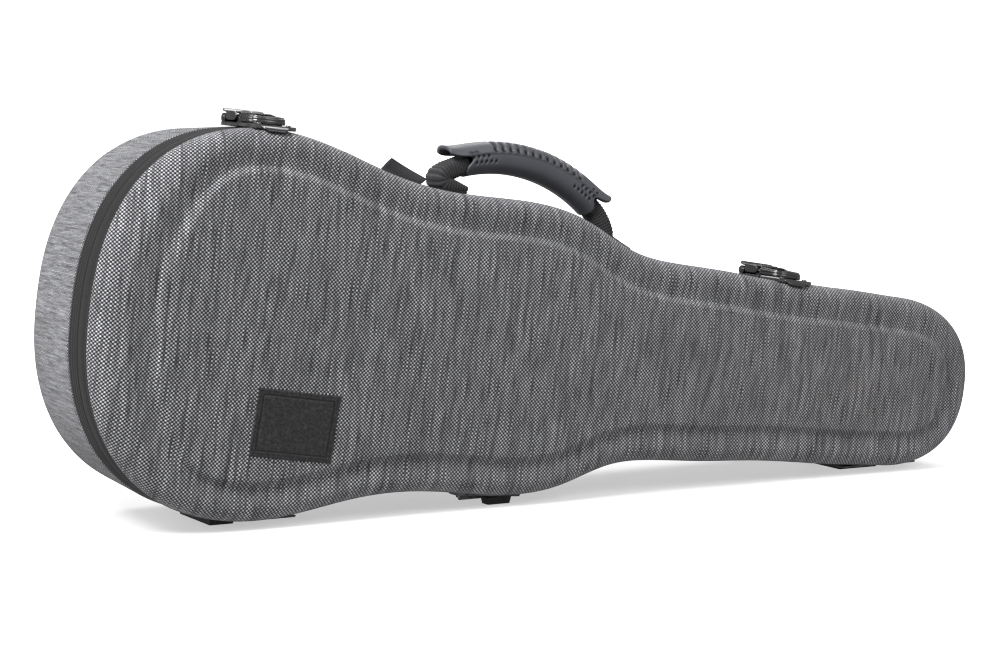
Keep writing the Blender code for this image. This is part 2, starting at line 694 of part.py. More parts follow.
def latch_bail():
    """A nose that reaches over the seam to the keeper, on two arms with eyes round the bail pin."""
    y1, z1 = BAIL_PIVOT
    near, far = LATCH_ARM
    clear = near - 0.1 * MM
    nose = [
        (2.2 * MM, 6.3 * MM), (2.2 * MM, 9.6 * MM), (-10 * MM, 9.2 * MM),
        (-19 * MM, 7.6 * MM), (-21 * MM, 6.3 * MM),
    ]
    bail = prism(nose, 0, -far, far)
    bail = combined(bail, [box((-clear, 0.2 * MM, 0), (clear, 5 * MM, 12 * MM))], "DIFFERENCE")
    arms = []
    for side in (-1, 1):
        x_low, x_high = sorted((side * near, side * far))
        arms.append(box((x_low, 0.5 * MM, z1 - 1.0 * MM), (x_high, y1, z1 + 1.0 * MM)))
        arms.append(rod_x(BAIL_PIVOT, 2.0 * MM, x_low, x_high))
    bail = combined(bail, arms, "UNION")
    return combined(bail, [rod_x(BAIL_PIVOT, LATCH_BORE, -LATCH_WIDTH, LATCH_WIDTH)], "DIFFERENCE")


def latch(index, frame, lid):
    place = latch_frame(index, frame)
    name = f"latch_{index + 1}"
    pin_end = 0.3 * MM
    add_part(name + "_base_plate", latch_base_plate(), place, GUNMETAL)
    reach = LATCH_EAR[1] + pin_end
    add_part(name + "_lever_pin", rod_x(LEVER_PIVOT, LATCH_PIN_RADIUS, -reach, reach), place, STEEL)

    lever_axis = empty(name + "_lever_axis", place, (0, *LEVER_PIVOT))
    add_part(name + "_lever", latch_lever(), lever_axis, GUNMETAL, place)
    reach = LATCH_ARM[1] + pin_end
    add_part(name + "_bail_pin", rod_x(BAIL_PIVOT, LATCH_PIN_RADIUS, -reach, reach), lever_axis, STEEL, place)

    offset = Vector(BAIL_PIVOT) - Vector(LEVER_PIVOT)
    bail_axis = empty(name + "_bail_axis", lever_axis, (0, *offset))
    add_part(name + "_bail", latch_bail(), bail_axis, GUNMETAL, place)
    add_part(name + "_keeper", latch_keeper(), lid, GUNMETAL, place)


# ---------------------------------------------------------------- carrying handle
def arc_points(a, b, c, count):
    """Points along the circular arc that runs from a through b to c."""
    a, b, c = (np.array(p) for p in (a, b, c))
    rows = 2 * np.array([b - a, c - a])
    centre = np.linalg.solve(rows, np.array([b @ b - a @ a, c @ c - a @ a]))
    start = math.atan2(*(a - centre)[::-1])
    end = math.atan2(*(c - centre)[::-1])
    radius = np.linalg.norm(a - centre)
    points = []
    for i in range(count + 1):
        angle = start + (end - start) * i / count
        direction = np.array([math.cos(angle), math.sin(angle)])
        points.append((centre + radius * direction, direction))
    return points


def handle_grip(axis, frame):
    """An oval tube swept along the arc, slimmer at its ends."""
    steps, around = 12, 14
    bm = bmesh.new()
    loops = []
    for i, (point, out) in enumerate(arc_points(*GRIP_ARC, steps)):
        swell = 0.93 + 0.07 * math.sin(math.pi * i / steps)
        loop = []
        for k in range(around):
            angle = 2 * math.pi * k / around
            rise = GRIP_THICKNESS / 2 * swell * math.sin(angle)
            side = GRIP_BREADTH / 2 * swell * math.cos(angle)
            spot = point + out * rise
            loop.append(bm.verts.new((spot[0], HANDLE_W + side, spot[1])))
        loops.append(loop)
    for a, b in zip(loops, loops[1:]):
        for k in range(around):
            j = (k + 1) % around
            bm.faces.new((a[k], a[j], b[j], b[k]))
    bm.faces.new(loops[0])
    bm.faces.new(loops[-1])
    add_part("handle_grip", bm, axis, GRIP_RUBBER, frame)


def surface_v(u, w):
    """Height of the base shell's side over the case axis, w behind the seam plane."""
    return half_width(u) - DRAFT * max(w - BAND_WIDTH, 0)


def anchor_pose(index):
    """Centre height and slope of an anchor plate that lies on the base shell without touching it."""
    u = HANDLE_ANCHOR_U[index]
    half = ANCHOR_LENGTH / 2
    front = HANDLE_W - ANCHOR_BREADTH / 2
    slope = math.atan2(surface_v(u + half, front) - surface_v(u - half, front), 2 * half)
    lift = max(
        surface_v(u + k * half, front) - (surface_v(u, front) + k * half * math.tan(slope))
        for k in np.linspace(-1, 1, 21)
    )
    return surface_v(u, front) + lift / math.cos(slope) + 4 * GAP, slope


def anchor_plate(index, frame):
    v, slope = anchor_pose(index)
    centre = (HANDLE_ANCHOR_U[index], HANDLE_W, v)
    place = empty(f"handle_anchor_{index + 1}_frame", frame, centre, (0, -slope, 0))
    half_l, half_b = ANCHOR_LENGTH / 2, ANCHOR_BREADTH / 2
    bm = bevelled(box((-half_l, -half_b, 0), (half_l, half_b, ANCHOR_THICKNESS)), 0.8 * MM)
    add_part(f"handle_anchor_{index + 1}", bm, place, BLACK_PLASTIC)
    wide, narrow, height = SCREW_HEAD
    for k, y in enumerate((-SCREW_Y, SCREW_Y)):
        screw = bmesh.new()
        bmesh.ops.create_cone(
            screw, cap_ends=True, segments=12, radius1=wide, radius2=narrow, depth=height,
            matrix=Matrix.Translation((SCREW_X, y, ANCHOR_THICKNESS + GAP + height / 2)),
        )
        add_part(f"handle_anchor_{index + 1}_screw_{k + 1}", screw, place, STEEL)


def strap_foot(index):
    v, slope = anchor_pose(index)
    u = STRAP_FOOT_U[index]
    return Vector((u, HANDLE_W, v + (u - HANDLE_ANCHOR_U[index]) * math.tan(slope) + ANCHOR_THICKNESS))


def handle_strap(index, axis, frame):
    """The webbing between an anchor and the end of the grip: a flat loop that narrows towards its foot."""
    end, out = arc_points(*GRIP_ARC, 12)[-1 if index else 0]
    side = 1 if index else -1
    along = np.array([out[1], -out[0]]) * side
    head = end + along * 1 * MM
    foot_centre = strap_foot(index) + Vector((0, 0, 5 * MM))
    # centre, direction of the thickness, half thickness and half breadth of the two ends
    ends = (
        (Vector((head[0], HANDLE_W, head[1])), Vector((out[0], 0, out[1])) * side, 3.5 * MM, 9 * MM),
        (foot_centre, Vector((1, 0, 0)), 2 * MM, 3.5 * MM),
    )
    bm = bmesh.new()
    loops = []
    for centre, direction, thick, breadth in ends:
        loop = []
        for a, b in ((-1, -1), (1, -1), (1, 1), (-1, 1)):
            loop.append(bm.verts.new(centre + direction * (a * thick) + Vector((0, b * breadth, 0))))
        loops.append(loop)
    for k in range(4):
        j = (k + 1) % 4
        bm.faces.new((loops[0][k], loops[0][j], loops[1][j], loops[1][k]))
    bm.faces.new(loops[0])
    bm.faces.new(loops[1])
    add_part(f"handle_strap_{index + 1}", bm, axis, WEBBING, frame)


def handle(frame):
    for index in range(2):
        anchor_plate(index, frame)
    first, second = strap_foot(0), strap_foot(1)
    chord = second - first
    pitch = math.atan2(chord.z, chord.x)
    axis = empty("handle_axis", frame, first, (0, -pitch, 0))
    handle_grip(axis, frame)
    for index in range(2):
        handle_strap(index, axis, frame)


TAB_RIBBON = (                   # (u, v) of the upper part of the ribbon
    (240.5 * MM, 121.4 * MM), (247.9 * MM, 130.5 * MM), (280.0 * MM, 118.3 * MM), (271.5 * MM, 116.4 * MM),
)
TAB_ROOT_U = (265.5 * MM, 256 * MM, 246 * MM)
TAB_THICKNESS = 3 * MM


def strap_tab(frame):
    """A webbing ribbon that stands on edge beside the first handle anchor, for a strap hook."""
    w_low, w_high = HANDLE_W - TAB_THICKNESS / 2, HANDLE_W + TAB_THICKNESS / 2
    root = [(u, surface_v(u, w_low) + 3 * GAP) for u in TAB_ROOT_U]
    add_part("strap_tab", prism(list(TAB_RIBBON) + root, 1, w_low, w_high), frame, WEBBING)


def main():
    for obj in list(bpy.data.objects):
        bpy.data.objects.remove(obj)
    root = empty("row_frame")
    frame = empty("case_frame", root, CASE_ORIGIN, (0, CASE_TILT, 0))
    hinge_line = empty("hinge_line", root, (0, SEAM_Y, HINGE_Z))
    lid = empty("lid_hinge_axis", hinge_line)

    base_shell(frame)
    rim_band("base_rim", 1, frame, frame)
    rim_seal(frame)
    base_lining(frame)
    lid_shell(lid, frame)
    rim_band("lid_rim", -1, lid, frame)
    lid_lining(lid, frame)
    label_patch(lid, frame)

    neck_rest(frame)
    neck_strap(frame)
    pocket_divider(frame)
    pocket_axis = empty("accessory_pocket_axis", frame, (POCKET_U, POCKET_TOP - 1.5 * MM, 0))
    pocket_lid(pocket_axis, frame)
    pocket_pull(pocket_axis, frame)
    for index in range(2):
        bow_catch(index, lid, frame)
        bow_tip_pocket(index, lid, frame)

    for index in range(len(HINGES)):
        hinge(index, lid, hinge_line)
    for name, x_low, x_high, y_low, y_high, height in FEET:
        foot(name, x_low, x_high, y_low, y_high, height, lid if name == "foot_middle" else root, root)
    for index in range(2):
        latch(index, frame, lid)
    handle(frame)
    strap_tab(frame)


main()
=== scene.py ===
import json
import math

import bmesh
import bpy
import numpy as np
from mathutils import Matrix, Vector


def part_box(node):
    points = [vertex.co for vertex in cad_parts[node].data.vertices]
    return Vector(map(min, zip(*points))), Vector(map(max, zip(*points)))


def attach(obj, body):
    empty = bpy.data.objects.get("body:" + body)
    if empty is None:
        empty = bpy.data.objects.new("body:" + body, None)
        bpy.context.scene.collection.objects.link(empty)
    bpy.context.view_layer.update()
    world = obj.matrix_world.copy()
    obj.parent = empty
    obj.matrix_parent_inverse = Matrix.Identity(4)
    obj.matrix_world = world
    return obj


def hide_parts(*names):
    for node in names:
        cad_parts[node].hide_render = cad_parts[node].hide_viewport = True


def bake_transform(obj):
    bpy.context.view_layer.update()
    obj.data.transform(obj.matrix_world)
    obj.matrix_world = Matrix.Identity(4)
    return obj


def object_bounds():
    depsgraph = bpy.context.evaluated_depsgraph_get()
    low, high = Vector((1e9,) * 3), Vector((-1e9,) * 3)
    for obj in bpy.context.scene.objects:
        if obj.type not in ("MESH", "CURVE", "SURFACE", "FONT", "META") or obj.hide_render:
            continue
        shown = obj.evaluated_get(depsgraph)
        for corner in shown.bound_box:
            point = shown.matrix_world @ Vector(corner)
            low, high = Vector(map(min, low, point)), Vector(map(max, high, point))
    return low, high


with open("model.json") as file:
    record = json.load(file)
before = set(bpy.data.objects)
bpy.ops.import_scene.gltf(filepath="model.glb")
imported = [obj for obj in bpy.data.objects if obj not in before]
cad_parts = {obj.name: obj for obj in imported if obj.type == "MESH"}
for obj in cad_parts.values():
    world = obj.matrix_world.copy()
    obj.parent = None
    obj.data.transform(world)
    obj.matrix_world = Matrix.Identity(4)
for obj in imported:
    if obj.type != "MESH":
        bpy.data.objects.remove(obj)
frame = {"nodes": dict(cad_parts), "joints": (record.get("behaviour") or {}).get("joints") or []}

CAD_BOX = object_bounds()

MM = 0.001
NODES = frame["nodes"]
JOINTS = {joint["name"]: joint for joint in frame["joints"]}


# ---------------------------------------------------------------- arithmetic on rows of points
def moved(points, matrix):
    turn = np.array(matrix)
    return np.asarray(points) @ turn[:3, :3].T + turn[:3, 3]


def lengths_along(points):
    """Distance along a line of points, from its first point to each one."""
    return np.concatenate([[0], np.cumsum(np.linalg.norm(np.diff(points, axis=0), axis=1))])


def unit_rows(vectors):
    return vectors / np.linalg.norm(vectors, axis=1)[:, None]


def left_of(along):
    """Unit vectors a quarter turn to the left of the directions given."""
    along = unit_rows(along)
    return np.stack([-along[:, 1], along[:, 0]], 1)


def squared_off(value, power):
    """A sine or cosine raised to a power with its sign kept; powers below 1 square a circle off."""
    return np.sign(value) * np.abs(value) ** power


def smooth(low, high, value):
    t = np.clip((value - low) / (high - low), 0, 1)
    return t * t * (3 - 2 * t)


def circle(x, y, radius, count):
    angle = np.linspace(0, 2 * math.pi, count, endpoint=False)
    return np.column_stack([x + radius * np.cos(angle), y + radius * np.sin(angle)])


# ---------------------------------------------------------------- the case's own coordinates
# u runs along the case from the lower-bout end, w away from the seam plane (base at +w, lid at -w), v across.
def case_axes():
    """Matrix from case coordinates to the row frame, read from the pocket lid's joint and the base shell."""
    hinge_axis = JOINTS["pocket_lid_hinge"]["axis"]
    turn = Matrix.Rotation(math.atan2(-hinge_axis[0], -hinge_axis[2]), 4, "Y")
    seam = Matrix.Translation((0, JOINTS["lid_hinge"]["pos_m"][1], 0))
    back = (seam @ turn).inverted()
    spots = np.array([back @ v.co for v in NODES["base_shell"].data.vertices])
    low, high = spots.min(0), spots.max(0)
    return seam @ turn @ Matrix.Translation((low[0], 0, (low[2] + high[2]) / 2))


CASE = case_axes()
CASE_INVERSE = CASE.inverted()


def case_vertices(node):
    """A CAD node's vertices in case coordinates."""
    return np.array([CASE_INVERSE @ v.co for v in NODES[node].data.vertices])


def case_box(node):
    spots = case_vertices(node)
    return spots.min(0), spots.max(0)


SHELL = case_vertices("base_shell")
SHELL_START = SHELL[:, 1].min()          # where the fabric begins behind the band
CASE_LENGTH = SHELL[:, 0].max()
BASE_DEPTH = SHELL[:, 1].max()
LID_DEPTH = -case_vertices("lid_shell")[:, 1].min()
SHELL_WALL = 4 * MM
RING_COUNT = 480                         # points round the outline


def outer_ring():
    """The shells' outer outline: (u, v) points from the lower-bout end over the upper flank to the neck."""
    edge = SHELL[np.abs(SHELL[:, 1] - SHELL_START) < 0.2 * MM][:, (0, 2)]
    edge = np.unique(np.round(edge, 5), axis=0)
    spine = np.clip(edge[:, 0], 0.14, CASE_LENGTH - 0.09)
    reach = np.hypot(edge[:, 0] - spine, edge[:, 1])
    apart = np.linalg.norm(edge[:, None] - edge[None], axis=2)
    inner = ((apart < SHELL_WALL + 0.6 * MM) & (reach[None] > reach[:, None] + 2 * MM)).any(1)
    upper = edge[~inner & (edge[:, 1] > -0.1 * MM)]
    return upper[np.argsort(upper[:, 0])]


def periodic_spline(points, count):
    """A closed cubic spline through points, sampled evenly by chord length."""
    closed = np.vstack([points, points[:1]])
    step = np.linalg.norm(np.diff(closed, axis=0), axis=1)
    knot = lengths_along(closed)
    n = len(points)
    matrix = np.zeros((n, n))
    right = np.zeros((n, 2))
    slope = np.diff(closed, axis=0) / step[:, None]
    for i in range(n):
        before = (i - 1) % n
        matrix[i, before] += step[before]
        matrix[i, i] += 2 * (step[before] + step[i])
        matrix[i, (i + 1) % n] += step[i]
        right[i] = 6 * (slope[i] - slope[before])
    second = np.linalg.solve(matrix, right)
    second = np.vstack([second, second[:1]])
    at = np.linspace(0, knot[-1], count, endpoint=False)
    i = np.clip(np.searchsorted(knot, at, side="right") - 1, 0, n - 1)
    h = step[i][:, None]
    a = (knot[i + 1] - at)[:, None] / h
    b = (at - knot[i])[:, None] / h
    bend = ((a**3 - a) * second[i] + (b**3 - b) * second[i + 1]) * h**2 / 6
    return a * closed[i] + b * closed[i + 1] + bend


def outline_and_inward():
    upper = outer_ring()
    lower = upper[-2:0:-1] * (1, -1)
    ring = periodic_spline(np.vstack([upper, lower]), RING_COUNT)
    along = np.roll(ring, -1, 0) - np.roll(ring, 1, 0)
    inward = np.stack([along[:, 1], -along[:, 0]], 1)
    return ring, unit_rows(inward)


OUTLINE, INWARD = outline_and_inward()
HALF = RING_COUNT // 2
LOWER_END = smooth(0.15, 1.0, INWARD[:, 0])      # 1 at the lower-bout end of the outline, 0 along the flanks


# ---------------------------------------------------------------- materials
def shade_of(colour, factor):
    return tuple(factor * c for c in colour)


class Graph:
    """A material's node tree, built from short calls that return output sockets."""

    def __init__(self, name):
        self.material = bpy.data.materials.new(name)
        self.material.use_nodes = True
        self.tree = self.material.node_tree
        self.shader = self.tree.nodes["Principled BSDF"]

    def put(self, value, socket):
        if isinstance(value, bpy.types.NodeSocket):
            self.tree.links.new(value, socket)
        elif isinstance(value, tuple) and len(value) == 3 and socket.type == "RGBA":
            socket.default_value = (*value, 1.0)
        else:
            socket.default_value = value

    def node(self, kind, values=(), **settings):
        """A new node; values go into its first inputs in turn, or into those that a dict's keys name."""
        made = self.tree.nodes.new(kind)
        for key, value in settings.items():
            setattr(made, key, value)
        for key, value in values.items() if isinstance(values, dict) else enumerate(values):
            self.put(value, made.inputs[key])
        return made

    def math(self, operation, *values):
        return self.node("ShaderNodeMath", values, operation=operation).outputs[0]

    def times(self, a, b):
        return self.math("MULTIPLY", a, b)

    def plus(self, a, b):
        return self.math("ADD", a, b)

    def mix(self, factor, a, b):
        return self.node("ShaderNodeMix", {0: factor, 6: a, 7: b}, data_type="RGBA").outputs[2]

    def scaled(self, colour, factor):
        return self.node("ShaderNodeVectorMath", {0: colour, "Scale": factor}, operation="SCALE").outputs[0]

    def span(self, value, low, high, to_low, to_high):
        return self.node("ShaderNodeMapRange", (value, low, high, to_low, to_high)).outputs[0]

    def coordinates(self, kind="UV"):
        """UV holds metres on the surface; Object holds the row frame's metres."""
        source = self.node("ShaderNodeTexCoord").outputs[kind]
        return source, *self.node("ShaderNodeSeparateXYZ", (source,)).outputs

    def vector(self, *values):
        return self.node("ShaderNodeCombineXYZ", values).outputs[0]

    def noise(self, vector, scale, detail=2.0, roughness=0.5):
        values = {"Vector": vector, "Scale": scale, "Detail": detail, "Roughness": roughness}
        return self.node("ShaderNodeTexNoise", values).outputs[0]

    def cells(self, vector, scale):
        return self.node("ShaderNodeTexVoronoi", {"Vector": vector, "Scale": scale}).outputs["Distance"]

    def attribute(self, name):
        return self.node("ShaderNodeAttribute", attribute_name=name).outputs["Fac"]

    def bump(self, height, distance, strength):
        made = self.node("ShaderNodeBump", {"Height": height, "Distance": distance, "Strength": strength})
        self.put(made.outputs[0], self.shader.inputs["Normal"])

    def finish(self, colour, roughness, metallic=0.0, **extra):
        extra.update(Base_Color=colour, Roughness=roughness, Metallic=metallic)
        for key, value in extra.items():
            self.put(value, self.shader.inputs[key.replace("_", " ")])
        return self.material


def melange_fabric():
    """Plain weave of light warp and dark weft, each thread with its own tone and fibre streaks, darkened
    towards its edges as painted shade between the threads.
    """
    g = Graph("melange_fabric")
    warp, weft = 1.5 * MM, 1.42 * MM
    surface, u, v, _ = g.coordinates()
    drift = g.noise(surface, 55, 3.0)
    x = g.plus(g.math("DIVIDE", u, warp), g.times(drift, 0.9))
    y = g.plus(g.math("DIVIDE", v, weft), g.times(drift, 0.7))
    column, row = g.math("FLOOR", x), g.math("FLOOR", y)
    over = g.math("FLOORED_MODULO", g.plus(column, row), 2.0)
    round_x = g.math("SINE", g.times(g.math("FRACT", x), math.pi))
    round_y = g.math("SINE", g.times(g.math("FRACT", y), math.pi))
    height = g.math("SQRT", g.times(round_x, round_y))
    melange = g.noise(g.vector(g.times(column, 1.7), g.times(y, 0.035)), 1.0, 3.0, 0.65)
    slub = g.noise(g.vector(g.times(x, 0.09), g.times(row, 0.71)), 1.0, 3.0, 0.7)
    fibre = g.noise(surface, 2600, 2.0)
    light = g.mix(g.span(melange, 0.3, 0.7, 0, 1), (0.12, 0.121, 0.129), (0.86, 0.865, 0.905))
    dark = g.mix(g.span(slub, 0.32, 0.75, 0, 1), (0.004, 0.004, 0.005), (0.018, 0.018, 0.021))
    colour = g.mix(over, dark, light)
    cloud = g.span(g.noise(surface, 14, 4.0, 0.6), 0.3, 0.7, 0.9, 1.1)
    # painted shade: each thread darkens towards its edges with its height, where it dips between its
    # neighbours; the fibre streaks are the threads' own tone
    shade = g.times(g.span(height, 0.1, 0.9, 0.1, 1.2), g.span(fibre, 0.3, 0.7, 0.8, 1.2))
    colour = g.scaled(colour, g.times(shade, cloud))
    g.bump(g.plus(height, g.times(fibre, 0.35)), 0.35 * MM, 0.7)
    return g.finish(colour, 0.95, Sheen_Weight=0.15, Sheen_Roughness=0.6, Sheen_Tint=(0.8, 0.8, 0.85))


def ribbed_textile(name, colour, pitch, sheen=0.2):
    """Cross-ribbed tape: fine ribs along v of the surface, painted shade in their furrows, with a soft fleck.
    """
    g = Graph(name)
    surface, u, v, _ = g.coordinates()
    ribs = g.math("SINE", g.times(u, 2 * math.pi / pitch))
    threads = g.math("SINE", g.times(v, 2 * math.pi / (0.7 * pitch)))
    fleck = g.noise(surface, 1500, 3.0, 0.7)
    wear = g.noise(surface, 35, 4.0, 0.6)
    level = g.plus(g.times(g.plus(ribs, threads), 0.25), fleck)
    dark = shade_of(colour, 0.55)
    light = shade_of(colour, 1.75)
    # painted shade: lighter on the crests of the ribs and threads, darker in their furrows, mixed with the
    # fleck's own tone
    tint = g.mix(g.span(level, 0.1, 1.0, 0, 1), dark, light)
    tint = g.scaled(tint, g.span(wear, 0.3, 0.7, 0.85, 1.15))
    # painted shade: near black in the valleys between the webbing's ribs, where the shade attribute says; it
    # also darkens the tab ribbon's border
    tint = g.mix(g.times(g.attribute("shade"), 0.95), tint, shade_of(colour, 0.2))
    g.bump(level, 0.25 * MM, 0.6)
    return g.finish(tint, 0.85, Sheen_Weight=sheen, Sheen_Roughness=0.5)


def moulded(name, colour, roughness, grain, grain_size):
    """Moulded rubber or plastic: fine grain, faint cloudiness, darker where the shade attribute paints shade
    into hollows.
    """
    g = Graph(name)
    surface, _, _, _ = g.coordinates("Object")
    fine = g.noise(surface, 1 / grain_size, 3.0, 0.6)
    cloud = g.noise(surface, 40, 4.0, 0.6)
    tint = g.mix(g.span(cloud, 0.3, 0.7, 0, 1), shade_of(colour, 0.88), shade_of(colour, 1.14))
    # painted shade: near black where the shade attribute marks grooves, dimples and hollows
    tint = g.mix(g.attribute("shade"), tint, (0.004, 0.004, 0.005))
    g.bump(fine, grain, 0.5)
    rough = g.span(g.plus(fine, cloud), 0.7, 1.3, roughness - 0.06, roughness + 0.08)
    return g.finish(tint, rough)


def metal(name, colour, roughness):
    """Plated metal: brushed streaks, a few smudges, rubbed edges lighter."""
    g = Graph(name)
    surface, x, y, z = g.coordinates("Object")
    streak = g.noise(g.vector(g.times(x, 90), g.times(y, 2400), g.times(z, 2400)), 1.0, 3.0, 0.6)
    smudge = g.noise(surface, 120, 4.0, 0.65)
    edge = g.node("ShaderNodeNewGeometry").outputs["Pointiness"]
    rub = g.times(g.span(edge, 0.52, 0.62, 0, 1), g.span(smudge, 0.4, 0.6, 0.2, 1))
    tint = g.mix(g.span(streak, 0.3, 0.7, 0, 1), shade_of(colour, 0.85), shade_of(colour, 1.15))
    tint = g.mix(g.times(rub, 0.35), tint, (0.55, 0.55, 0.56))
    rough = g.plus(g.span(smudge, 0.35, 0.65, roughness - 0.07, roughness + 0.1), g.times(streak, 0.06))
    g.bump(g.plus(streak, g.times(smudge, 0.5)), 0.02 * MM, 0.03)
    return g.finish(tint, rough, 1.0)


def leather():
    g = Graph("label_leather")
    surface, _, _, _ = g.coordinates()
    pores = g.cells(surface, 600)
    creases = g.noise(surface, 420, 5.0, 0.65)
    grain = g.plus(g.times(pores, 0.7), creases)
    tint = g.mix(g.span(grain, 0.5, 1.3, 0, 1), (0.008, 0.008, 0.0085), (0.06, 0.058, 0.062))
    tint = g.mix(g.attribute("shade"), tint, (0.008, 0.008, 0.009))
    g.bump(grain, 0.22 * MM, 0.55)
    return g.finish(tint, g.span(creases, 0.3, 0.7, 0.42, 0.62))


def plush():
    g = Graph("plush")
    surface, _, _, _ = g.coordinates("Object")
    pile = g.noise(surface, 1900, 3.0, 0.7)
    nap = g.noise(surface, 22, 5.0, 0.62)
    tint = g.mix(g.span(nap, 0.35, 0.65, 0, 1), (0.06, 0.061, 0.066), (0.115, 0.116, 0.125))
    tint = g.mix(g.times(g.attribute("shade"), 0.6), tint, (0.02, 0.02, 0.022))
    tint = g.scaled(tint, g.span(pile, 0.3, 0.7, 0.72, 1.28))
    g.bump(pile, 0.5 * MM, 0.6)
    return g.finish(tint, 0.97, Sheen_Weight=0.7, Sheen_Roughness=0.4, Sheen_Tint=(0.7, 0.7, 0.75))


FABRIC = melange_fabric()
BAND = ribbed_textile("band_textile", (0.012, 0.0113, 0.0122), 0.9 * MM, 0.03)
WEBBING = ribbed_textile("webbing", (0.055, 0.055, 0.059), 1.1 * MM, 0.05)
LEATHER = leather()
PLUSH = plush()
GRIP_RUBBER = moulded("grip_rubber", (0.1, 0.103, 0.118), 0.47, 0.05 * MM, 0.5 * MM)
FOOT_RUBBER = moulded("foot_rubber", (0.014, 0.014, 0.014), 0.6, 0.08 * MM, 0.7 * MM)
SEAL_RUBBER = moulded("seal_rubber", (0.02, 0.02, 0.022), 0.62, 0.05 * MM, 0.6 * MM)
BLACK_PLASTIC = moulded("black_plastic", (0.02, 0.02, 0.021), 0.42, 0.05 * MM, 0.6 * MM)
GUNMETAL = metal("latch_gunmetal", (0.16, 0.16, 0.165), 0.2)
HINGE_BLACK = metal("hinge_black", (0.03, 0.03, 0.031), 0.42)
STEEL = metal("pin_steel", (0.58, 0.58, 0.59), 0.24)


# ---------------------------------------------------------------- mesh helpers
def finish_piece(obj, body, slot, *replaced):
    if replaced:
        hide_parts(*replaced)
    if body:
        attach(obj, body)
    return obj


def add_object(name, data):
    obj = bpy.data.objects.new(name, data)
    bpy.context.scene.collection.objects.link(obj)
    return obj


def mesh_object(name, points, faces, material, loop_uv=None, shade=None, matrix=CASE):
    """A smooth mesh object; matrix takes points to the row frame, loop_uv has (u, v) per face corner."""
    mesh = bpy.data.meshes.new(name)
    spots = moved(points, matrix)
    mesh.from_pydata([tuple(p) for p in spots], [], [tuple(int(i) for i in f) for f in faces])
    if loop_uv is not None:
        layer = mesh.uv_layers.new(name="surface")
        layer.data.foreach_set("uv", np.asarray(loop_uv, np.float32).ravel())
    if shade is not None:
        layer = mesh.attributes.new("shade", "FLOAT", "POINT")
        layer.data.foreach_set("value", np.asarray(shade, np.float32).ravel())
    bm = bmesh.new()
    bm.from_mesh(mesh)
    bmesh.ops.recalc_face_normals(bm, faces=bm.faces)
    bm.to_mesh(mesh)
    bm.free()
    mesh.shade_smooth()
    mesh.materials.append(material)
    return add_object(name, mesh)


def turn_faces(obj, face_index, direction):
    """Turns the whole mesh so that one of its faces looks along a direction."""
    if obj.data.polygons[face_index].normal.dot(direction) < 0:
        obj.data.flip_normals()


CORNERS = ((0, 0), (0, 1), (1, 1), (1, 0))      # rows and columns added for each corner of a grid's face


def grid_faces(rows, columns, closed_columns=False, closed_rows=False):
    """Quads of a grid of points, row after row."""
    faces = []
    for r in range(rows if closed_rows else rows - 1):
        for c in range(columns if closed_columns else columns - 1):
            faces.append([(r + dr) % rows * columns + (c + dc) % columns for dr, dc in CORNERS])
    return faces


def rounded(node, width, segments, material):
    """Rounds the edges of a CAD node, by width in millimetres, and gives it a detailed material."""
    obj = NODES[node]
    bevel = obj.modifiers.new("rounded", "BEVEL")
    bevel.width = width * MM
    bevel.segments = segments
    bevel.limit_method = "ANGLE"
    bevel.angle_limit = math.radians(28)
    bevel.harden_normals = False
    obj.data.materials.clear()
    obj.data.materials.append(material)
    obj.data.shade_smooth()
    obj.data.set_sharp_from_angle(angle=math.radians(32))


# ---------------------------------------------------------------- surfaces that follow the outline
def inset(amount):
    """The outline moved inwards; amount is one number or one per point."""
    return OUTLINE + INWARD * np.reshape(np.broadcast_to(amount, RING_COUNT), (-1, 1))


def rings(profile, side):
    """Point grid (rows, points, 3) from rows of (inset, depth)."""
    rows = []
    for amount, depth in profile:
        spots = inset(amount)
        level = side * np.broadcast_to(depth, RING_COUNT)
        rows.append(np.stack([spots[:, 0], level, spots[:, 1]], 1))
    return np.array(rows)


def cap_columns(edge, columns, depth_of):
    """Points that fill the inside of a ring along straight lines across the case."""
    across = np.linspace(1, -1, columns + 2)[1:-1]
    points = []
    for i in range(1, HALF):
        u, half = edge[i, 0], (edge[i, 2] - edge[-i, 2]) / 2
        for s in across:
            points.append((u, depth_of(u, s * half), s * half))
    return np.array(points)


def cap_faces(first, offset, columns):
    """Faces of that filling.  first is the ring's first index, offset that of the added points."""
    def line(i):
        if i == 0:
            return [first] * (columns + 2)
        if i == HALF:
            return [first + HALF] * (columns + 2)
        start = offset + (i - 1) * columns
        return [first + i] + list(range(start, start + columns)) + [first + RING_COUNT - i]

    faces = []
    for i in range(HALF):
        a, b = line(i), line(i + 1)
        for k in range(columns + 1):
            corners = []
            for index in (a[k], a[k + 1], b[k + 1], b[k]):
                if index not in corners:
                    corners.append(index)
            if len(corners) > 2:
                faces.append(corners)
    return faces


# ---------------------------------------------------------------- fabric-covered shells
LID_RUN = 12 * MM + 10 * MM * LOWER_END        # how far the lid's shoulder runs in
PANEL_INSET = 27 * MM + 16 * MM * LOWER_END    # edge of the raised centre panel
PANEL_STEP = 6 * MM + 2 * MM * LOWER_END       # breadth of the step up to it
PANEL_EDGE = LID_DEPTH - 0.6 * MM              # depth of the panel just inside its step
PANEL_CROWN = 2.0 * MM
SHOULDER_POWER = 2.2 - 0.75 * LOWER_END        # 1 would be a straight bevel, 2 a quarter of an ellipse


def panel_rows(edge, step, low, high, steps):
    """Rows of (inset, depth) over a rounded step from the recessed ring up to a panel."""
    rows = []
    for i in range(steps + 1):
        t = i / steps
        rows.append((edge + (t - 0.5) * step, low + (high - low) * smooth(0, 1, t)))
    return rows


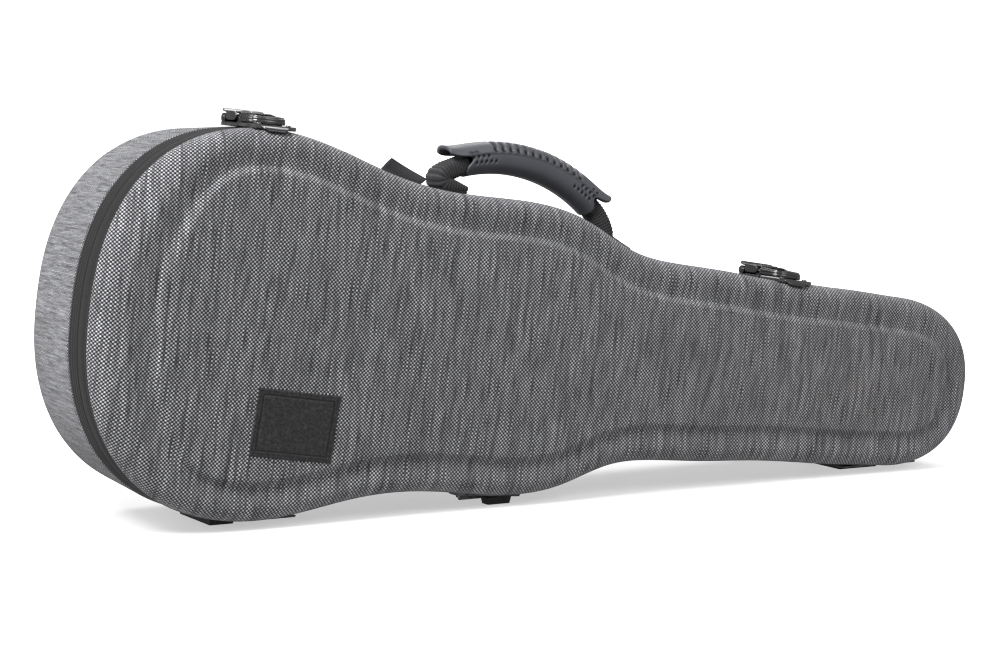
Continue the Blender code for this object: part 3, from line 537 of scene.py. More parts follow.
def lid_profile():
    """Rows of the lid's cover from the hidden edge in the band's gap to the centre panel."""
    bulge = -0.9 * MM
    start = SHELL_START + 0.15 * MM
    rows = [(1.6 * MM, start), (0.6 * MM, start), (-0.3 * MM, start + 0.35 * MM), (bulge, start + 1.6 * MM)]
    turn, front = start + 2.4 * MM, LID_DEPTH - 3.2 * MM
    power = 2 / SHOULDER_POWER
    for i in range(17):
        angle = 0.5 * math.pi * i / 16
        run = (LID_RUN - bulge) * (1 - max(math.cos(angle), 0) ** power)
        rows.append((bulge + run, turn + (front - turn) * math.sin(angle) ** power))
    last = rows[-1][0]
    for t in (0.35, 0.7, 1.0):
        rows.append((last + (PANEL_INSET - 0.5 * PANEL_STEP - last) * t, front - 1.5 * MM * t))
    rows += panel_rows(PANEL_INSET, PANEL_STEP, front - 1.5 * MM, PANEL_EDGE, 8)[1:]
    rows.append((PANEL_INSET + PANEL_STEP, PANEL_EDGE + 0.1 * MM))
    return rows


def base_profile():
    """Rows of the base's cover from the band to its flat back."""
    bulge = -0.6 * MM
    start = SHELL_START + 0.15 * MM
    wall_end = BASE_DEPTH - 28 * MM
    lean = 0.05
    rows = [(1.6 * MM, start), (0.6 * MM, start), (-0.2 * MM, start + 0.35 * MM), (bulge, start + 1.6 * MM)]
    for t in np.linspace(0.06, 1, 10):
        depth = start + (wall_end - start) * t
        rows.append((bulge + lean * (depth - start), depth))
    first = rows[-1][0]
    for i in range(1, 13):
        angle = 0.49 * math.pi * i / 12
        rows.append((first + 28 * MM * (1 - math.cos(angle)), wall_end + 26.5 * MM * math.sin(angle)))
    last, back = rows[-1]
    rows.append((last + 3 * MM, back + 0.1 * MM))
    rows += panel_rows(last + 8 * MM, 4 * MM, back + 0.1 * MM, BASE_DEPTH - 0.1 * MM, 6)[1:]
    rows.append((last + 15 * MM, BASE_DEPTH))
    return rows


def arc_down(grid):
    """Arc length down each column of a grid of rings."""
    steps = np.linalg.norm(np.diff(grid, axis=0), axis=2)
    return np.vstack([np.zeros(RING_COUNT), np.cumsum(steps, axis=0)])


def profile_uv(grid):
    """Surface coordinates in metres: the last ring's plan position, carried on outwards by arc length."""
    arc = arc_down(grid)
    return grid[-1][:, (0, 2)] + INWARD * (arc - arc[-1])[..., None]


WALL_STRETCH = 1.45              # the weave of the wall is stretched by the inverse of this
WALL_ROW = 6                     # the wall's surface coordinates run along this ring


def wall_uv(grid):
    """Surface coordinates in metres: distance along the outline and arc length down the wall."""
    ring = grid[WALL_ROW]
    full = np.zeros((len(grid), RING_COUNT + 1, 2))
    full[..., 0] = lengths_along(np.vstack([ring, ring[:1]]))
    full[:, :-1, 1] = arc_down(grid)
    full[:, -1, 1] = full[:, 0, 1]
    return WALL_STRETCH * full


def shell_cover(body, side, profile, crown, wall_rows):
    """A fabric skin of wall and shoulder rings round a filled panel; returns the panel's depth function."""
    columns = 26
    grid = rings(profile, side)
    count = len(grid)
    edge = grid[-1]
    low_u, high_u = edge[:, 0].min(), edge[:, 0].max()
    half_at = edge[:HALF + 1]

    def depth_of(u, v):
        half = max(np.interp(u, half_at[:, 0], half_at[:, 2]), 1e-4)
        ends = 1 - ((2 * u - low_u - high_u) / (high_u - low_u)) ** 2
        rise = crown * (1 - min(abs(v) / half, 1.0) ** 2) * max(ends, 0) ** 0.35
        return edge[0, 1] + side * rise

    inner = cap_columns(edge, columns, depth_of)
    points = np.vstack([grid.reshape(-1, 3), inner])
    ring_faces = grid_faces(count, RING_COUNT, closed_columns=True)
    faces = ring_faces + cap_faces((count - 1) * RING_COUNT, count * RING_COUNT, columns)
    flat = np.vstack([profile_uv(grid).reshape(-1, 2), inner[:, (0, 2)]])
    wall = wall_uv(grid)
    loop_uv = []
    for index, face in enumerate(faces):
        r, c = divmod(index, RING_COUNT)
        if r < wall_rows:
            loop_uv += [wall[r + dr, c + dc] for dr, dc in CORNERS]
        else:
            loop_uv += [flat[i] for i in face]
    obj = mesh_object(f"{body}_cover", points, faces, FABRIC, loop_uv)
    turn_faces(obj, -1, CASE.to_3x3() @ Vector((0, side, 0)))
    finish_piece(obj, body, "shell_fabric", f"{body}_shell")
    return depth_of


# ---------------------------------------------------------------- rim bands
def leaf_line(node):
    """x range of a hinge leaf and the height of its upper face at both ends, in the row frame."""
    x, _, z = np.array([v.co for v in NODES[node].data.vertices]).T
    low, high = x.min(), x.max()
    return low, high, z[x < low + 0.5 * MM].max(), z[x > high - 0.5 * MM].max()


def lift_over_hinges(points):
    """Keeps points, in the row frame, above the hinge leaves and the knuckles."""
    gap = 0.3 * MM
    hinge_y, hinge_z = JOINTS["lid_hinge"]["pos_m"][1:]
    floor = np.full(len(points), hinge_z + 0.5 * MM)
    for index in (1, 2, 3):
        low, high, top_low, top_high = leaf_line(f"hinge_{index}_base_leaf")
        t = (points[:, 0] - low) / (high - low)
        near = (t > -0.05) & (t < 1.05)
        floor[near] = np.maximum(floor[near], top_low + (top_high - top_low) * t[near] + gap)
        pin_low, pin_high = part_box(f"hinge_{index}_pin")
        near = (points[:, 0] > pin_low[0] - 4 * MM) & (points[:, 0] < pin_high[0] + 4 * MM)
        near &= np.abs(points[:, 1] - hinge_y) < 3 * MM
        floor[near] = np.maximum(floor[near], hinge_z + 2.6 * MM)
    points[:, 2] = np.maximum(points[:, 2], floor)
    return points


def swept_ring(name, profile, side, material, slot, body, replaced):
    """A closed profile swept round the outline, with surface coordinates along it and round it."""
    grid = rings(profile, side)
    rows = len(grid)
    arc = lengths_along(np.vstack([grid[:, 0], grid[:1, 0]]))
    along = lengths_along(np.vstack([OUTLINE, OUTLINE[:1]]))
    faces = grid_faces(rows, RING_COUNT, closed_columns=True, closed_rows=True)
    loop_uv = []
    for r, c in np.ndindex(rows, RING_COUNT):
        loop_uv += [(along[c + dc], arc[r + dr]) for dr, dc in CORNERS]
    points = moved(grid.reshape(-1, 3), CASE)
    if material == BAND:
        points = lift_over_hinges(points)
    obj = mesh_object(name, points, faces, material, loop_uv, matrix=Matrix())
    finish_piece(obj, body, slot, replaced)


BAND_PROUD = 0.3 * MM
BAND_WIDTH = SHELL_START - 0.3 * MM


def band_profile(grooves):
    """Cross-section of a rim band: rounded corners, fine lengthwise grooves on its face."""
    low, high, back = 0.3 * MM, BAND_WIDTH, 4 * MM
    corner = 0.9 * MM
    rows = [(back, low), (corner, low), (0.1 * MM, low + 0.15 * MM), (-BAND_PROUD, low + corner)]
    for centre in grooves:
        half = 0.45 * MM
        rows += [(-BAND_PROUD, centre - half), (-BAND_PROUD + 0.25 * MM, centre - 0.5 * half),
                 (-BAND_PROUD + 0.25 * MM, centre + 0.5 * half), (-BAND_PROUD, centre + half)]
    rows += [(-BAND_PROUD, high - corner), (0.1 * MM, high - 0.15 * MM), (corner, high), (back, high)]
    return rows


def rim_bands():
    for body, side, grooves in (("base", 1, (3.6, 7.6, 11.8)), ("lid", -1, (12.6,))):
        profile = band_profile(np.array(grooves) * MM)
        swept_ring(f"{body}_rim_band", profile, side, BAND, "band_textile", body, f"{body}_rim")
    profile = circle(5.7, 1.65, 1.25, 12) * MM
    swept_ring("seal_tube", profile, 1, SEAL_RUBBER, "seal_rubber", "base", "rim_seal")


# ---------------------------------------------------------------- carrying handle
def fitted_circle(points):
    columns = np.column_stack([points, np.ones(len(points))])
    d, e, f = np.linalg.lstsq(columns, -(points**2).sum(1), rcond=None)[0]
    centre = np.array([-d / 2, -e / 2])
    return centre, math.sqrt((centre**2).sum() - f)


class GripArc:
    """The centreline of the grip: an arc in the (u, v) plane, measured in metres from its lower-bout end."""

    def __init__(self):
        spots = case_vertices("handle_grip")
        low, high = spots[:, 1].min(), spots[:, 1].max()
        self.w = (high + low) / 2
        self.half_breadth = (high - low) / 2
        plan = spots[:, (0, 2)]
        # the widest points of each loop of the CAD grip lie on its centreline
        widest = np.abs(spots[:, 1] - self.w) > 0.915 * self.half_breadth
        self.centre, self.radius = fitted_circle(plan[widest])
        angles = np.arctan2(plan[:, 1] - self.centre[1], plan[:, 0] - self.centre[0])
        self.start = angles.max()
        self.length = self.radius * (self.start - angles.min())

    def at(self, distance):
        """(u, v) of the centreline and the outward direction there."""
        angle = self.start - np.asarray(distance) / self.radius
        out = np.stack([np.cos(angle), np.sin(angle)], -1)
        return self.centre + self.radius * out, out


ARC = GripArc()
GRIP_HALF_THICKNESS = 12.1 * MM
LIP_REACH = (3 * MM, -2 * MM)    # the outer side of either end reaches this far beyond the arc
CUT_BACK = 8.5 * MM              # and its inner side stops this far short
GROOVES = 13
GROOVE_PITCH = 6.5 * MM
DOT_PITCH = 4.4 * MM


def grip_radii(distance, angle):
    """Outward and sideways reach of the grip's skin; angle 90 degrees faces away from the case."""
    rise, side = np.sin(angle), np.cos(angle)
    t = np.clip(distance / ARC.length, 0, 1)
    swell = 0.95 + 0.05 * np.sin(math.pi * t)
    out = GRIP_HALF_THICKNESS * swell * squared_off(rise, 2 / 2.35)
    across = ARC.half_breadth * swell * squared_off(side, 2 / 2.35)
    # a raised pad on the outer side, whose ends flare into the lips
    pad = 0.9 * MM * smooth(0.24, 0.34, rise)
    from_end = np.minimum(distance + LIP_REACH[0], ARC.length + LIP_REACH[1] - distance)
    flare = 3.4 * MM * np.exp(-from_end / (7 * MM)) * smooth(0.0, 0.8, rise)
    out = out + (pad * np.clip(rise, 0, 1) + flare)
    across = across * (1 + (pad + 0.3 * flare) / ARC.half_breadth)
    place = (distance - ARC.length / 2) / GROOVE_PITCH
    nearest = np.abs(place - np.round(place)) * GROOVE_PITCH
    groove = (1 - smooth(1.1 * MM, 1.9 * MM, nearest)) * smooth(0.3, 0.45, rise)
    groove = groove * (np.abs(place) < GROOVES / 2)
    return out - 2.4 * MM * groove * rise, across * (1 - 1.0 * MM * groove / ARC.half_breadth), groove


def grip_dots():
    """Centres of the dimples as (distance, angle): three staggered rows at both ends, on both sides."""
    dots = []
    for side in (-1, 1):
        for degrees, count, shift in ((27, 2, 0.0), (10, 4, 0.3), (-7, 5, 0.7)):
            angle = math.pi / 2 + side * math.radians(90 - degrees)
            for k in range(count):
                reach = 13 * MM + (k + shift) * DOT_PITCH
                dots.append((reach, angle))
                dots.append((ARC.length - reach - 1.5 * MM, angle))
    return dots


def handle_grip():
    rows, columns = 300, 120
    angle = np.linspace(0, 2 * math.pi, columns, endpoint=False)
    rise = np.sin(angle)
    shelf = smooth(0.2, 0.62, rise)
    notch = 6 * MM * np.exp(-((rise - 0.12) / 0.3) ** 2)
    first, last = (reach * shelf - (CUT_BACK + notch) * (1 - shelf) for reach in LIP_REACH)
    t = np.linspace(0, 1, rows)[:, None]
    distance = -first + (ARC.length + first + last) * t
    out, across, groove = grip_radii(distance, angle[None])
    # painted shade: the grooves and dimples, and further down the hollow ends, are darkened through the shade
    # attribute
    shade = 0.97 * groove
    for reach, at in grip_dots():
        around = np.abs((angle - at + math.pi) % (2 * math.pi) - math.pi) * GRIP_HALF_THICKNESS
        near = np.hypot(distance - reach, around[None])
        pit = 1 - smooth(0.8 * MM, 1.35 * MM, near)
        out -= 1.3 * MM * pit * rise
        across -= 1.3 * MM * pit * np.cos(angle)
        shade = np.maximum(shade, 0.95 * pit)

    def loop(distance_row, out_row, across_row):
        spot, direction = ARC.at(distance_row)
        plan = spot + direction * out_row[:, None]
        return np.stack([plan[:, 0], ARC.w + across_row, plan[:, 1]], 1)

    body = [loop(distance[r], out[r], across[r]) for r in range(rows)]
    shades = list(shade)
    for end, sign in ((0, 1), (-1, -1)):
        extra, hollow_shades = [], []
        # the rim of the end, then the inside of the hollow: shift inwards, wall, narrowing, painted shade of
        # the hollow
        for shift, wall, narrowing, hollow_shade in ((-0.5, 1.3, 1, 0.1), (0.2, 2.6, 1, 0.4), (16, 2.6, 0.9, 1)):
            factor = narrowing * (1 - wall * MM / GRIP_HALF_THICKNESS)
            extra.append(loop(distance[end] + sign * shift * MM, out[end] * factor, across[end] * factor))
            hollow_shades.append(np.full(columns, hollow_shade))
        if end == 0:
            body, shades = extra[::-1] + body, hollow_shades[::-1] + shades
        else:
            body, shades = body + extra, shades + hollow_shades
    points = np.array(body).reshape(-1, 3)
    faces = grid_faces(len(body), columns, closed_columns=True)
    faces += [range(columns), range(len(points) - 1, len(points) - 1 - columns, -1)]
    obj = mesh_object("grip", points, faces, GRIP_RUBBER, shade=np.concatenate(shades))
    finish_piece(obj, "handle", "grip_rubber", "handle_grip")


def rounded_path(corners, step, softness=3):
    """Points along a polyline whose corners are rounded by repeated corner cutting."""
    path = np.array(corners, float)
    for _ in range(softness):
        cut = [path[0]]
        for a, b in zip(path[:-1], path[1:]):
            cut += [0.75 * a + 0.25 * b, 0.25 * a + 0.75 * b]
        path = np.array(cut + [path[-1]])
    length = lengths_along(path)
    at = np.arange(0, length[-1], step)
    return np.stack([np.interp(at, length, path[:, k]) for k in range(path.shape[1])], 1), at


def webbing_strip(name, corners, breadths, thicknesses, pitch, rib):
    """Cross-ribbed webbing along a path in the (u, v) plane, its breadths and thicknesses spread evenly."""
    path, at = rounded_path(corners, pitch / 5)
    across = left_of(np.gradient(path, axis=0))
    wave = 0.5 + 0.5 * np.sin(2 * math.pi * at / pitch)
    breadth = np.interp(at, np.linspace(0, at[-1], len(breadths)), breadths)
    thickness = np.interp(at, np.linspace(0, at[-1], len(thicknesses)), thicknesses)
    count = 20
    angle = np.linspace(0, 2 * math.pi, count, endpoint=False)
    high = squared_off(np.sin(angle), 0.7)
    half = thickness[:, None] / 2 + rib * (wave[:, None] - 0.5) * np.abs(high)
    plan = path[:, None] + across[:, None] * (high * half)[..., None]
    side = squared_off(np.cos(angle), 0.3) * (breadth[:, None] / 2 + 0.4 * rib * wave[:, None])
    points = np.stack([plan[..., 0], ARC.w + side, plan[..., 1]], -1).reshape(-1, 3)
    faces = grid_faces(len(path), count, closed_columns=True)
    loop_uv = []
    for face in faces:
        row, column = divmod(face[0], count)
        loop_uv += [(at[row + dr], (column + dc) * 2 * breadths[0] / count) for dr, dc in CORNERS]
    faces += [range(count), range(len(points) - 1, len(points) - 1 - count, -1)]
    loop_uv += 2 * [(0, k * MM) for k in range(count)]
    # the shade attribute paints shade into the valleys between the ribs
    return mesh_object(name, points, faces, WEBBING, loop_uv, shade=np.repeat(1 - wave, count))


def row_point(u, w, v):
    return CASE @ Vector((u, w, v))


def anchor_top(index):
    """Lowest and highest u of an anchor plate, and a function for the height of its upper face at u."""
    spots = case_vertices(f"handle_anchor_{index}")
    low, high = spots[:, 0].min(), spots[:, 0].max()
    left = spots[spots[:, 0] < low + 3 * MM][:, 2].max()
    right = spots[spots[:, 0] > high - 3 * MM][:, 2].max()
    return low, high, lambda u: left + (right - left) * (u - low) / (high - low)


def handle_straps():
    """Webbing from inside the grip, folded down onto each anchor."""
    low_1, _, top_1 = anchor_top(1)
    low_2, high_2, top_2 = anchor_top(2)
    length = ARC.length / MM
    end = (high_2 - low_2) / MM - 6
    straps = (
        # millimetres along the grip's arc to the strap's inner end and to where it leaves the grip, and how
        # far below the arc it leaves; then its places over the anchor, by u from the anchor's lower end:
        # u of the place, u where the anchor's face is measured, and height above the face
        (12, 1, 3.5, low_1, top_1, ((29, 0, 13.5), (22, 0, 8.5), (23, 0, 3.5), (31, 31, 2.6), (43, 43, 1.5))),
        (length - 12, length - 1, 2, low_2, top_2,
         ((12, 13, 12), (13, 13, 5), (16, 13, 1.6), (end, end, 1.5))),
    )
    for number, (inside_at, exit_at, drop, low, top, places) in enumerate(straps, 1):
        inside, out = ARC.at(inside_at * MM)
        exit_point = ARC.at(exit_at * MM)[0] - drop * MM * out
        corners = [inside - 2 * MM * out, exit_point]
        corners += [(low + u * MM, top(low + at * MM) + height * MM) for u, at, height in places]
        strip = webbing_strip(f"handle_webbing_{number}", corners, np.array((15, 19, 22, 22)) * MM,
                              np.array((13, 13, 13, 10, 4)) * MM, 2.3 * MM, 0.8 * MM)
        finish_piece(strip, None, "webbing", f"handle_strap_{number}")
        foot_low, _ = case_box(f"handle_strap_{number}")
        foot_point = row_point(corners[-3][0], ARC.w, foot_low[2])
        row_point(exit_point[0], ARC.w, exit_point[1])
        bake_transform(strip)


def strap_tab():
    """A ribbon loop that stands on edge: two layers with a fold along the top and a stitched root."""
    low, high = case_box("strap_tab")
    spots = case_vertices("strap_tab")[:, (0, 2)]
    top_left = spots[spots[:, 1].argmax()]
    left = spots[spots[:, 0].argmin()]
    right = spots[spots[:, 0].argmax()]
    root = np.array([right[0] - 9 * MM, low[2]])
    rows, columns = 61, 35
    last_row, last_column = rows - 1, columns - 1
    middle = (low[1] + high[1]) / 2
    points, shade = [], []
    for side, r, c in ((side, r, c) for side in (-1, 1) for r, c in np.ndindex(rows, columns)):
        t, s = r / last_row, c / last_column
        swell = math.sin(math.pi * t)
        spot = (top_left + (right - top_left) * t) * (1 - s) + (left + (root - left) * t) * s
        gap = 1.1 * MM * math.sin(math.pi * min(s * 1.3, 1)) * (0.35 + 0.65 * swell)
        bend = 2.2 * MM * swell * (1 - s) - 1.0 * MM * (1 - s) ** 2
        edge = min(c, r, last_row - r) < 2
        points.append((spot[0], middle + bend + side * (gap + 0.45 * MM - 0.2 * MM * edge), spot[1]))
        shade.append(0.5 * edge)
    size = rows * columns
    sheet = grid_faces(rows, columns)
    faces = [face[::-1] for face in sheet] + [[size + i for i in face] for face in sheet]
    border = [*range(columns), *range(2 * columns - 1, size, columns)]
    border += [*range(size - 2, size - columns - 1, -1), *range(size - 2 * columns, 0, -columns)]
    faces += [(a, b, size + b, size + a) for a, b in zip(border, border[1:] + border[:1])]
    loop_uv = []
    for face in faces:
        for i in face:
            r, c = divmod(i % size, columns)
            loop_uv.append((c * 0.6 * MM, r * 0.8 * MM))
    obj = mesh_object("tab_ribbon", points, faces, WEBBING, loop_uv, shade=shade)
    finish_piece(obj, "base", "webbing", "strap_tab")


# ---------------------------------------------------------------- label
LABEL_SKIN = 0.85 * MM           # thickness of the leather
LABEL_ROUND = 1.1 * MM           # breadth of its rounded edge
FRAME_FROM_EDGE = 4.6 * MM       # where the pressed frame line runs
STITCH_FROM_EDGE = 2.2 * MM      # where the stitches run
STITCH_PITCH = 3.2 * MM


def label(lid_depth):
    """An embossed leather patch that follows the crowned panel: rounded edge, frame line, stitches."""
    spots = np.unique(np.round(case_vertices("label_patch")[:, (0, 2)], 5), axis=0)
    centre = spots.mean(0)
    spots = spots[np.argsort(np.arctan2(spots[:, 1] - centre[1], spots[:, 0] - centre[0]))]
    sides = np.roll(spots, -1, 0) - spots
    along = sides[np.argmax(np.linalg.norm(sides, axis=1))]
    along = along / np.linalg.norm(along) * math.copysign(1, along[0])
    up = np.array([-along[1], along[0]])
    reach = np.abs((spots - centre) @ along).max(), np.abs((spots - centre) @ up).max()
    rows, columns = 150, 200
    a = np.linspace(-reach[0], reach[0], columns)
    b = np.linspace(-reach[1], reach[1], rows)
    grid_a, grid_b = np.meshgrid(a, b)
    from_edge = np.minimum(reach[0] - np.abs(grid_a), reach[1] - np.abs(grid_b))
    skin = LABEL_SKIN * np.sqrt(1 - (1 - np.clip(from_edge / LABEL_ROUND, 0, 1)) ** 2)
    frame_line = 1 - smooth(0.35 * MM, 0.8 * MM, np.abs(from_edge - FRAME_FROM_EDGE))
    stitch_line = 1 - smooth(0.3 * MM, 0.6 * MM, np.abs(from_edge - STITCH_FROM_EDGE))
    run = np.where(reach[0] - np.abs(grid_a) < reach[1] - np.abs(grid_b), grid_b, grid_a)
    stitch = stitch_line * (np.sin(2 * math.pi * run / STITCH_PITCH) > -0.35)
    skin = skin - 0.35 * MM * frame_line - 0.22 * MM * stitch_line + 0.2 * MM * stitch
    skin = skin + 0.12 * MM * smooth(5.2 * MM, 6.5 * MM, from_edge)
    plan = centre + grid_a[..., None] * along + grid_b[..., None] * up
    base = np.array([[lid_depth(p[0], p[1]) for p in line] for line in plan])
    points = np.stack([plan[..., 0], base + 0.15 * MM - skin, plan[..., 1]], -1).reshape(-1, 3)
    shade = np.clip(0.8 * frame_line + 0.5 * stitch_line - 0.4 * stitch, 0, 1)
    faces = grid_faces(rows, columns)
    flat = np.stack([grid_a, grid_b], -1).reshape(-1, 2)
    loop_uv = [flat[i] for face in faces for i in face]
    obj = mesh_object("label_leather_patch", points, faces, LEATHER, loop_uv, shade=shade.ravel())
    turn_faces(obj, 0, CASE.to_3x3() @ Vector((0, -1, 0)))
    finish_piece(obj, "lid", "label_leather", "label_patch")


# ---------------------------------------------------------------- inside
def padded(profile, side, body, seams):
    """A plush lining from rows of (inset, depth) in millimetres, its floor quilted by seams across it."""
    grid = rings(np.array(profile) * MM, side)
    count = len(grid)
    edge = grid[-1]
    columns = 40

    def depth_of(u, v):
        quilt = 1.2 * math.exp(-(v / (2.5 * MM)) ** 2)
        for seam in seams:
            quilt += 1.6 * math.exp(-((u - seam * CASE_LENGTH) / (3 * MM)) ** 2)
        return edge[0, 1] + side * (quilt - 1.2) * 0.9 * MM

    points = np.vstack([grid.reshape(-1, 3), cap_columns(edge, columns, depth_of)])
    faces = grid_faces(count, RING_COUNT, closed_columns=True)
    faces += cap_faces((count - 1) * RING_COUNT, count * RING_COUNT, columns)
    obj = mesh_object(f"{body}_plush", points, faces, PLUSH)
    turn_faces(obj, -1, CASE.to_3x3() @ Vector((0, -side, 0)))
    finish_piece(obj, body, "lining_plush", f"{body}_lining")


def arched(start, end, depth, sag, steps, margin):
    """Rows from inset start to inset end that arch over the rim by sag."""
    t = np.linspace(margin, 1 - margin, steps)
    return list(zip(start + (end - start) * t, depth - sag * np.sin(math.pi * t)))


def rounded_in(inset_from, run, depth, floor, first):
    """Rows of a quarter turn from a wall that ends at depth to the lining's floor."""
    angle = np.linspace(first, 0.5 * math.pi, 6)
    return list(zip(inset_from + run * (1 - np.cos(angle)), depth + (floor - depth) * np.sin(angle)))


def linings():
    rim, wall = 7.5, 18.6
    base = [(rim - 0.1, 4.5), (rim, 1.6), *arched(rim, wall, 1.6, 1.3, 8, 0.08), (wall, 2.0), (wall + 0.8, 4)]
    base += [(wall + 0.8 + 3.2 * t, 4 + 70 * t) for t in np.linspace(0.1, 1, 7)]
    base += rounded_in(wall + 4, 14, 74, 91.8, 0.15)
    padded(base, 1, "base", (0.18, 0.30, 0.42))
    rim, wall = 5.5, 10.6
    lid = [(rim - 0.1, 3), (rim, 1.2), *arched(rim, wall + 0.5, 1.2, 0.8, 6, 0.12)]
    lid += [(wall + 0.6, 1.6), (wall + 0.9, 5), (wall + 1.2, 14), *rounded_in(wall + 1.2, 9, 14, 25.2, 0.2)]
    padded(lid, -1, "lid", (0.25, 0.5, 0.72))


def softened(node, name, body, slot, material, voxel, rounds):
    """A soft copy of a CAD solid: remeshed with voxels of so many millimetres, its edges melted away."""
    obj = add_object(name, NODES[node].data.copy())
    remesh = obj.modifiers.new("remesh", "REMESH")
    remesh.mode = "VOXEL"
    remesh.voxel_size = voxel * MM
    melt = obj.modifiers.new("melt", "SMOOTH")
    melt.factor = 0.5
    melt.iterations = rounds
    bpy.context.view_layer.update()
    mesh = bpy.data.meshes.new_from_object(obj.evaluated_get(bpy.context.evaluated_depsgraph_get()))
    obj.modifiers.clear()
    obj.data = mesh
    mesh.materials.clear()
    mesh.materials.append(material)
    mesh.shade_smooth()
    return finish_piece(obj, body, slot, node)


def fittings_inside():
    soft = [
        ("neck_rest", "neck_rest_pad", "base", 1.4, 14),
        ("accessory_pocket_divider", "pocket_divider_pad", "base", 1.0, 10),
        ("accessory_pocket_lid", "pocket_lid_pad", "pocket_lid", 0.7, 4),
    ]
    soft += [(f"bow_tip_pocket_{index}", f"bow_tip_sleeve_{index}", "lid", 0.6, 5) for index in (1, 2)]
    for node, name, body, voxel, rounds in soft:
        softened(node, name, body, "lining_plush", PLUSH, voxel, rounds)
    # the strap over the neck, and the ribbon that lifts the pocket lid
    box_uv(softened("neck_strap", "neck_strap_web", "base", "webbing", WEBBING, 0.6, 2))
    box_uv(softened("accessory_pocket_pull", "pocket_pull_ribbon", "pocket_lid", "webbing", WEBBING, 0.4, 2))


def box_uv(obj):
    """Surface coordinates in metres: z and x of the row frame, so that the ribs run along x."""
    mesh = obj.data
    layer = mesh.uv_layers.new(name="surface")
    spots = np.array([v.co for v in mesh.vertices])
    corner = np.array([loop.vertex_index for loop in mesh.loops])
    layer.data.foreach_set("uv", spots[corner][:, (2, 0)].astype(np.float32).ravel())


def hard_parts():
    for node in NODES:
        if node.startswith("hinge_") and node.endswith("_leaf"):
            rounded(node, 0.35, 2, HINGE_BLACK)
        elif node.startswith("foot_"):
            rounded(node, 0.8, 3, FOOT_RUBBER)
        elif node.endswith("_pin"):
            rounded(node, 0.25, 2, STEEL)
        elif node.startswith("latch_") and not node.endswith(("_lever", "_bail")):
            rounded(node, 0.22, 2, GUNMETAL)
        elif "screw" in node:
            rounded(node, 0.4, 3, STEEL)
        elif node.startswith(("handle_anchor", "bow_catch")):
            rounded(node, 0.5, 3, BLACK_PLASTIC)


# ---------------------------------------------------------------- latches
# Latch coordinates are millimetres: x along the case, y across the seam with the lid at -y, z outwards.
LEVER_PIVOT = (6.0, 6.2)         # (y, z) of the lever's axis
BAIL_PIVOT = (14.0, 6.4)         # of the bail's axis on the lever
BARREL = (24.0, 6.0)             # of the rolled edge of the base's plate
LATCH_HALF = 16.5                # half the breadth of the lever
NOSE_BACK = 2.2                  # y where the nose begins
NOSE_SLOPE = 0.05                # the nose sinks by this much for every millimetre forwards


def latch_axes(index):
    """Matrix from latch coordinates to the row frame."""
    joint = JOINTS[f"latch_{index}_lever_pivot"]
    x = Vector(joint["axis"]).normalized()
    y = (CASE.to_3x3() @ Vector((0, 1, 0))).normalized()
    z = x.cross(y)
    low, high = LEVER_PIVOT
    matrix = Matrix((x, y, z)).transposed().to_4x4()
    matrix.translation = Vector(joint["pos_m"]) - y * low * MM - z * high * MM
    return matrix @ Matrix.Scale(MM, 4)


def rounded_loop(corners, rounds):
    """A closed outline with its corners cut again and again."""
    path = np.array(corners, float)
    for _ in range(rounds):
        ahead = np.roll(path, -1, axis=0)
        path = np.stack([0.8 * path + 0.2 * ahead, 0.2 * path + 0.8 * ahead], 1).reshape(-1, 2)
    return path


def pressed_plate(corners, low, high, edge, rounds):
    """Rows of (a, b, height) points of a plate with a rounded outline and rounded edges."""
    loop = rounded_loop(corners, rounds)
    turn = left_of(np.roll(loop, -1, axis=0) - np.roll(loop, 1, axis=0))
    inwards = turn * np.sign(((loop.mean(0) - loop) * turn).sum())
    rows = []
    for level, start in ((low + edge, -math.pi / 2), (high - edge, 0.0)):
        for angle in start + math.pi / 8 * np.arange(5):
            spots = loop + inwards * edge * (1 - math.cos(angle))
            rows.append(np.column_stack([spots, np.full(len(spots), level + edge * math.sin(angle))]))
    return np.array(rows)


def cross_plate(outline, low, high, edge):
    """A plate that stands across the latch: outline in (y, z), thickness along x."""
    return pressed_plate(outline, low, high, edge, 2)[..., (2, 0, 1)]


def pressed_strip(path, half_breadths, thickness):
    """A strip bent along a path in the (y, z) plane; half_breadths pairs y with half the breadth there."""
    line, at = rounded_path(path, 0.25)
    across = left_of(np.gradient(line, axis=0))
    half = np.interp(line[:, 0], *zip(*sorted(half_breadths)))
    ends = np.minimum(at, at[-1] - at) / 0.6
    body = np.sqrt(1 - (1 - np.clip(ends, 0, 1)) ** 2) * 0.7 + 0.3
    angle = 2 * math.pi * np.arange(36) / 36
    high = squared_off(np.sin(angle), 0.6) * (thickness / 2 * body)[:, None]
    side = squared_off(np.cos(angle), 0.12) * (half - 0.8 * (1 - body))[:, None]
    return np.concatenate([side[..., None], line[:, None] + across[:, None] * high[..., None]], 2)


def tube(path, radius, height=None):
    """A wire along a path of (x, y, z) corners; height is half its upright size."""
    line, _ = rounded_path(path, 0.4, 4)
    along = unit_rows(np.gradient(line, axis=0))
    sideways = unit_rows(np.cross(along, (0, 0, 1)))
    upright = np.cross(along, sideways)
    angle = np.linspace(0, 2 * math.pi, 20, endpoint=False)[:, None]
    across = radius * squared_off(np.cos(angle), 0.7) * sideways[:, None]
    return line[:, None] + across + (height or radius) * squared_off(np.sin(angle), 0.7) * upright[:, None]


def latch_piece(name, index, shapes, body, *replaced):
    """One object from several closed bodies, each given as rows of points in latch coordinates."""
    points, faces = [], []
    for rows in shapes:
        first, columns = len(points), rows.shape[1]
        count = len(rows) * columns
        loops = grid_faces(len(rows), columns, closed_columns=True)
        loops += [range(columns), range(count - 1, count - 1 - columns, -1)]
        faces += [[first + i for i in loop] for loop in loops]
        points += list(rows.reshape(-1, 3))
    obj = mesh_object(f"latch_{index}_{name}", points, faces, GUNMETAL, matrix=latch_axes(index))
    obj.data.set_sharp_from_angle(angle=math.radians(50))
    finish_piece(obj, body, "latch_gunmetal", *replaced)


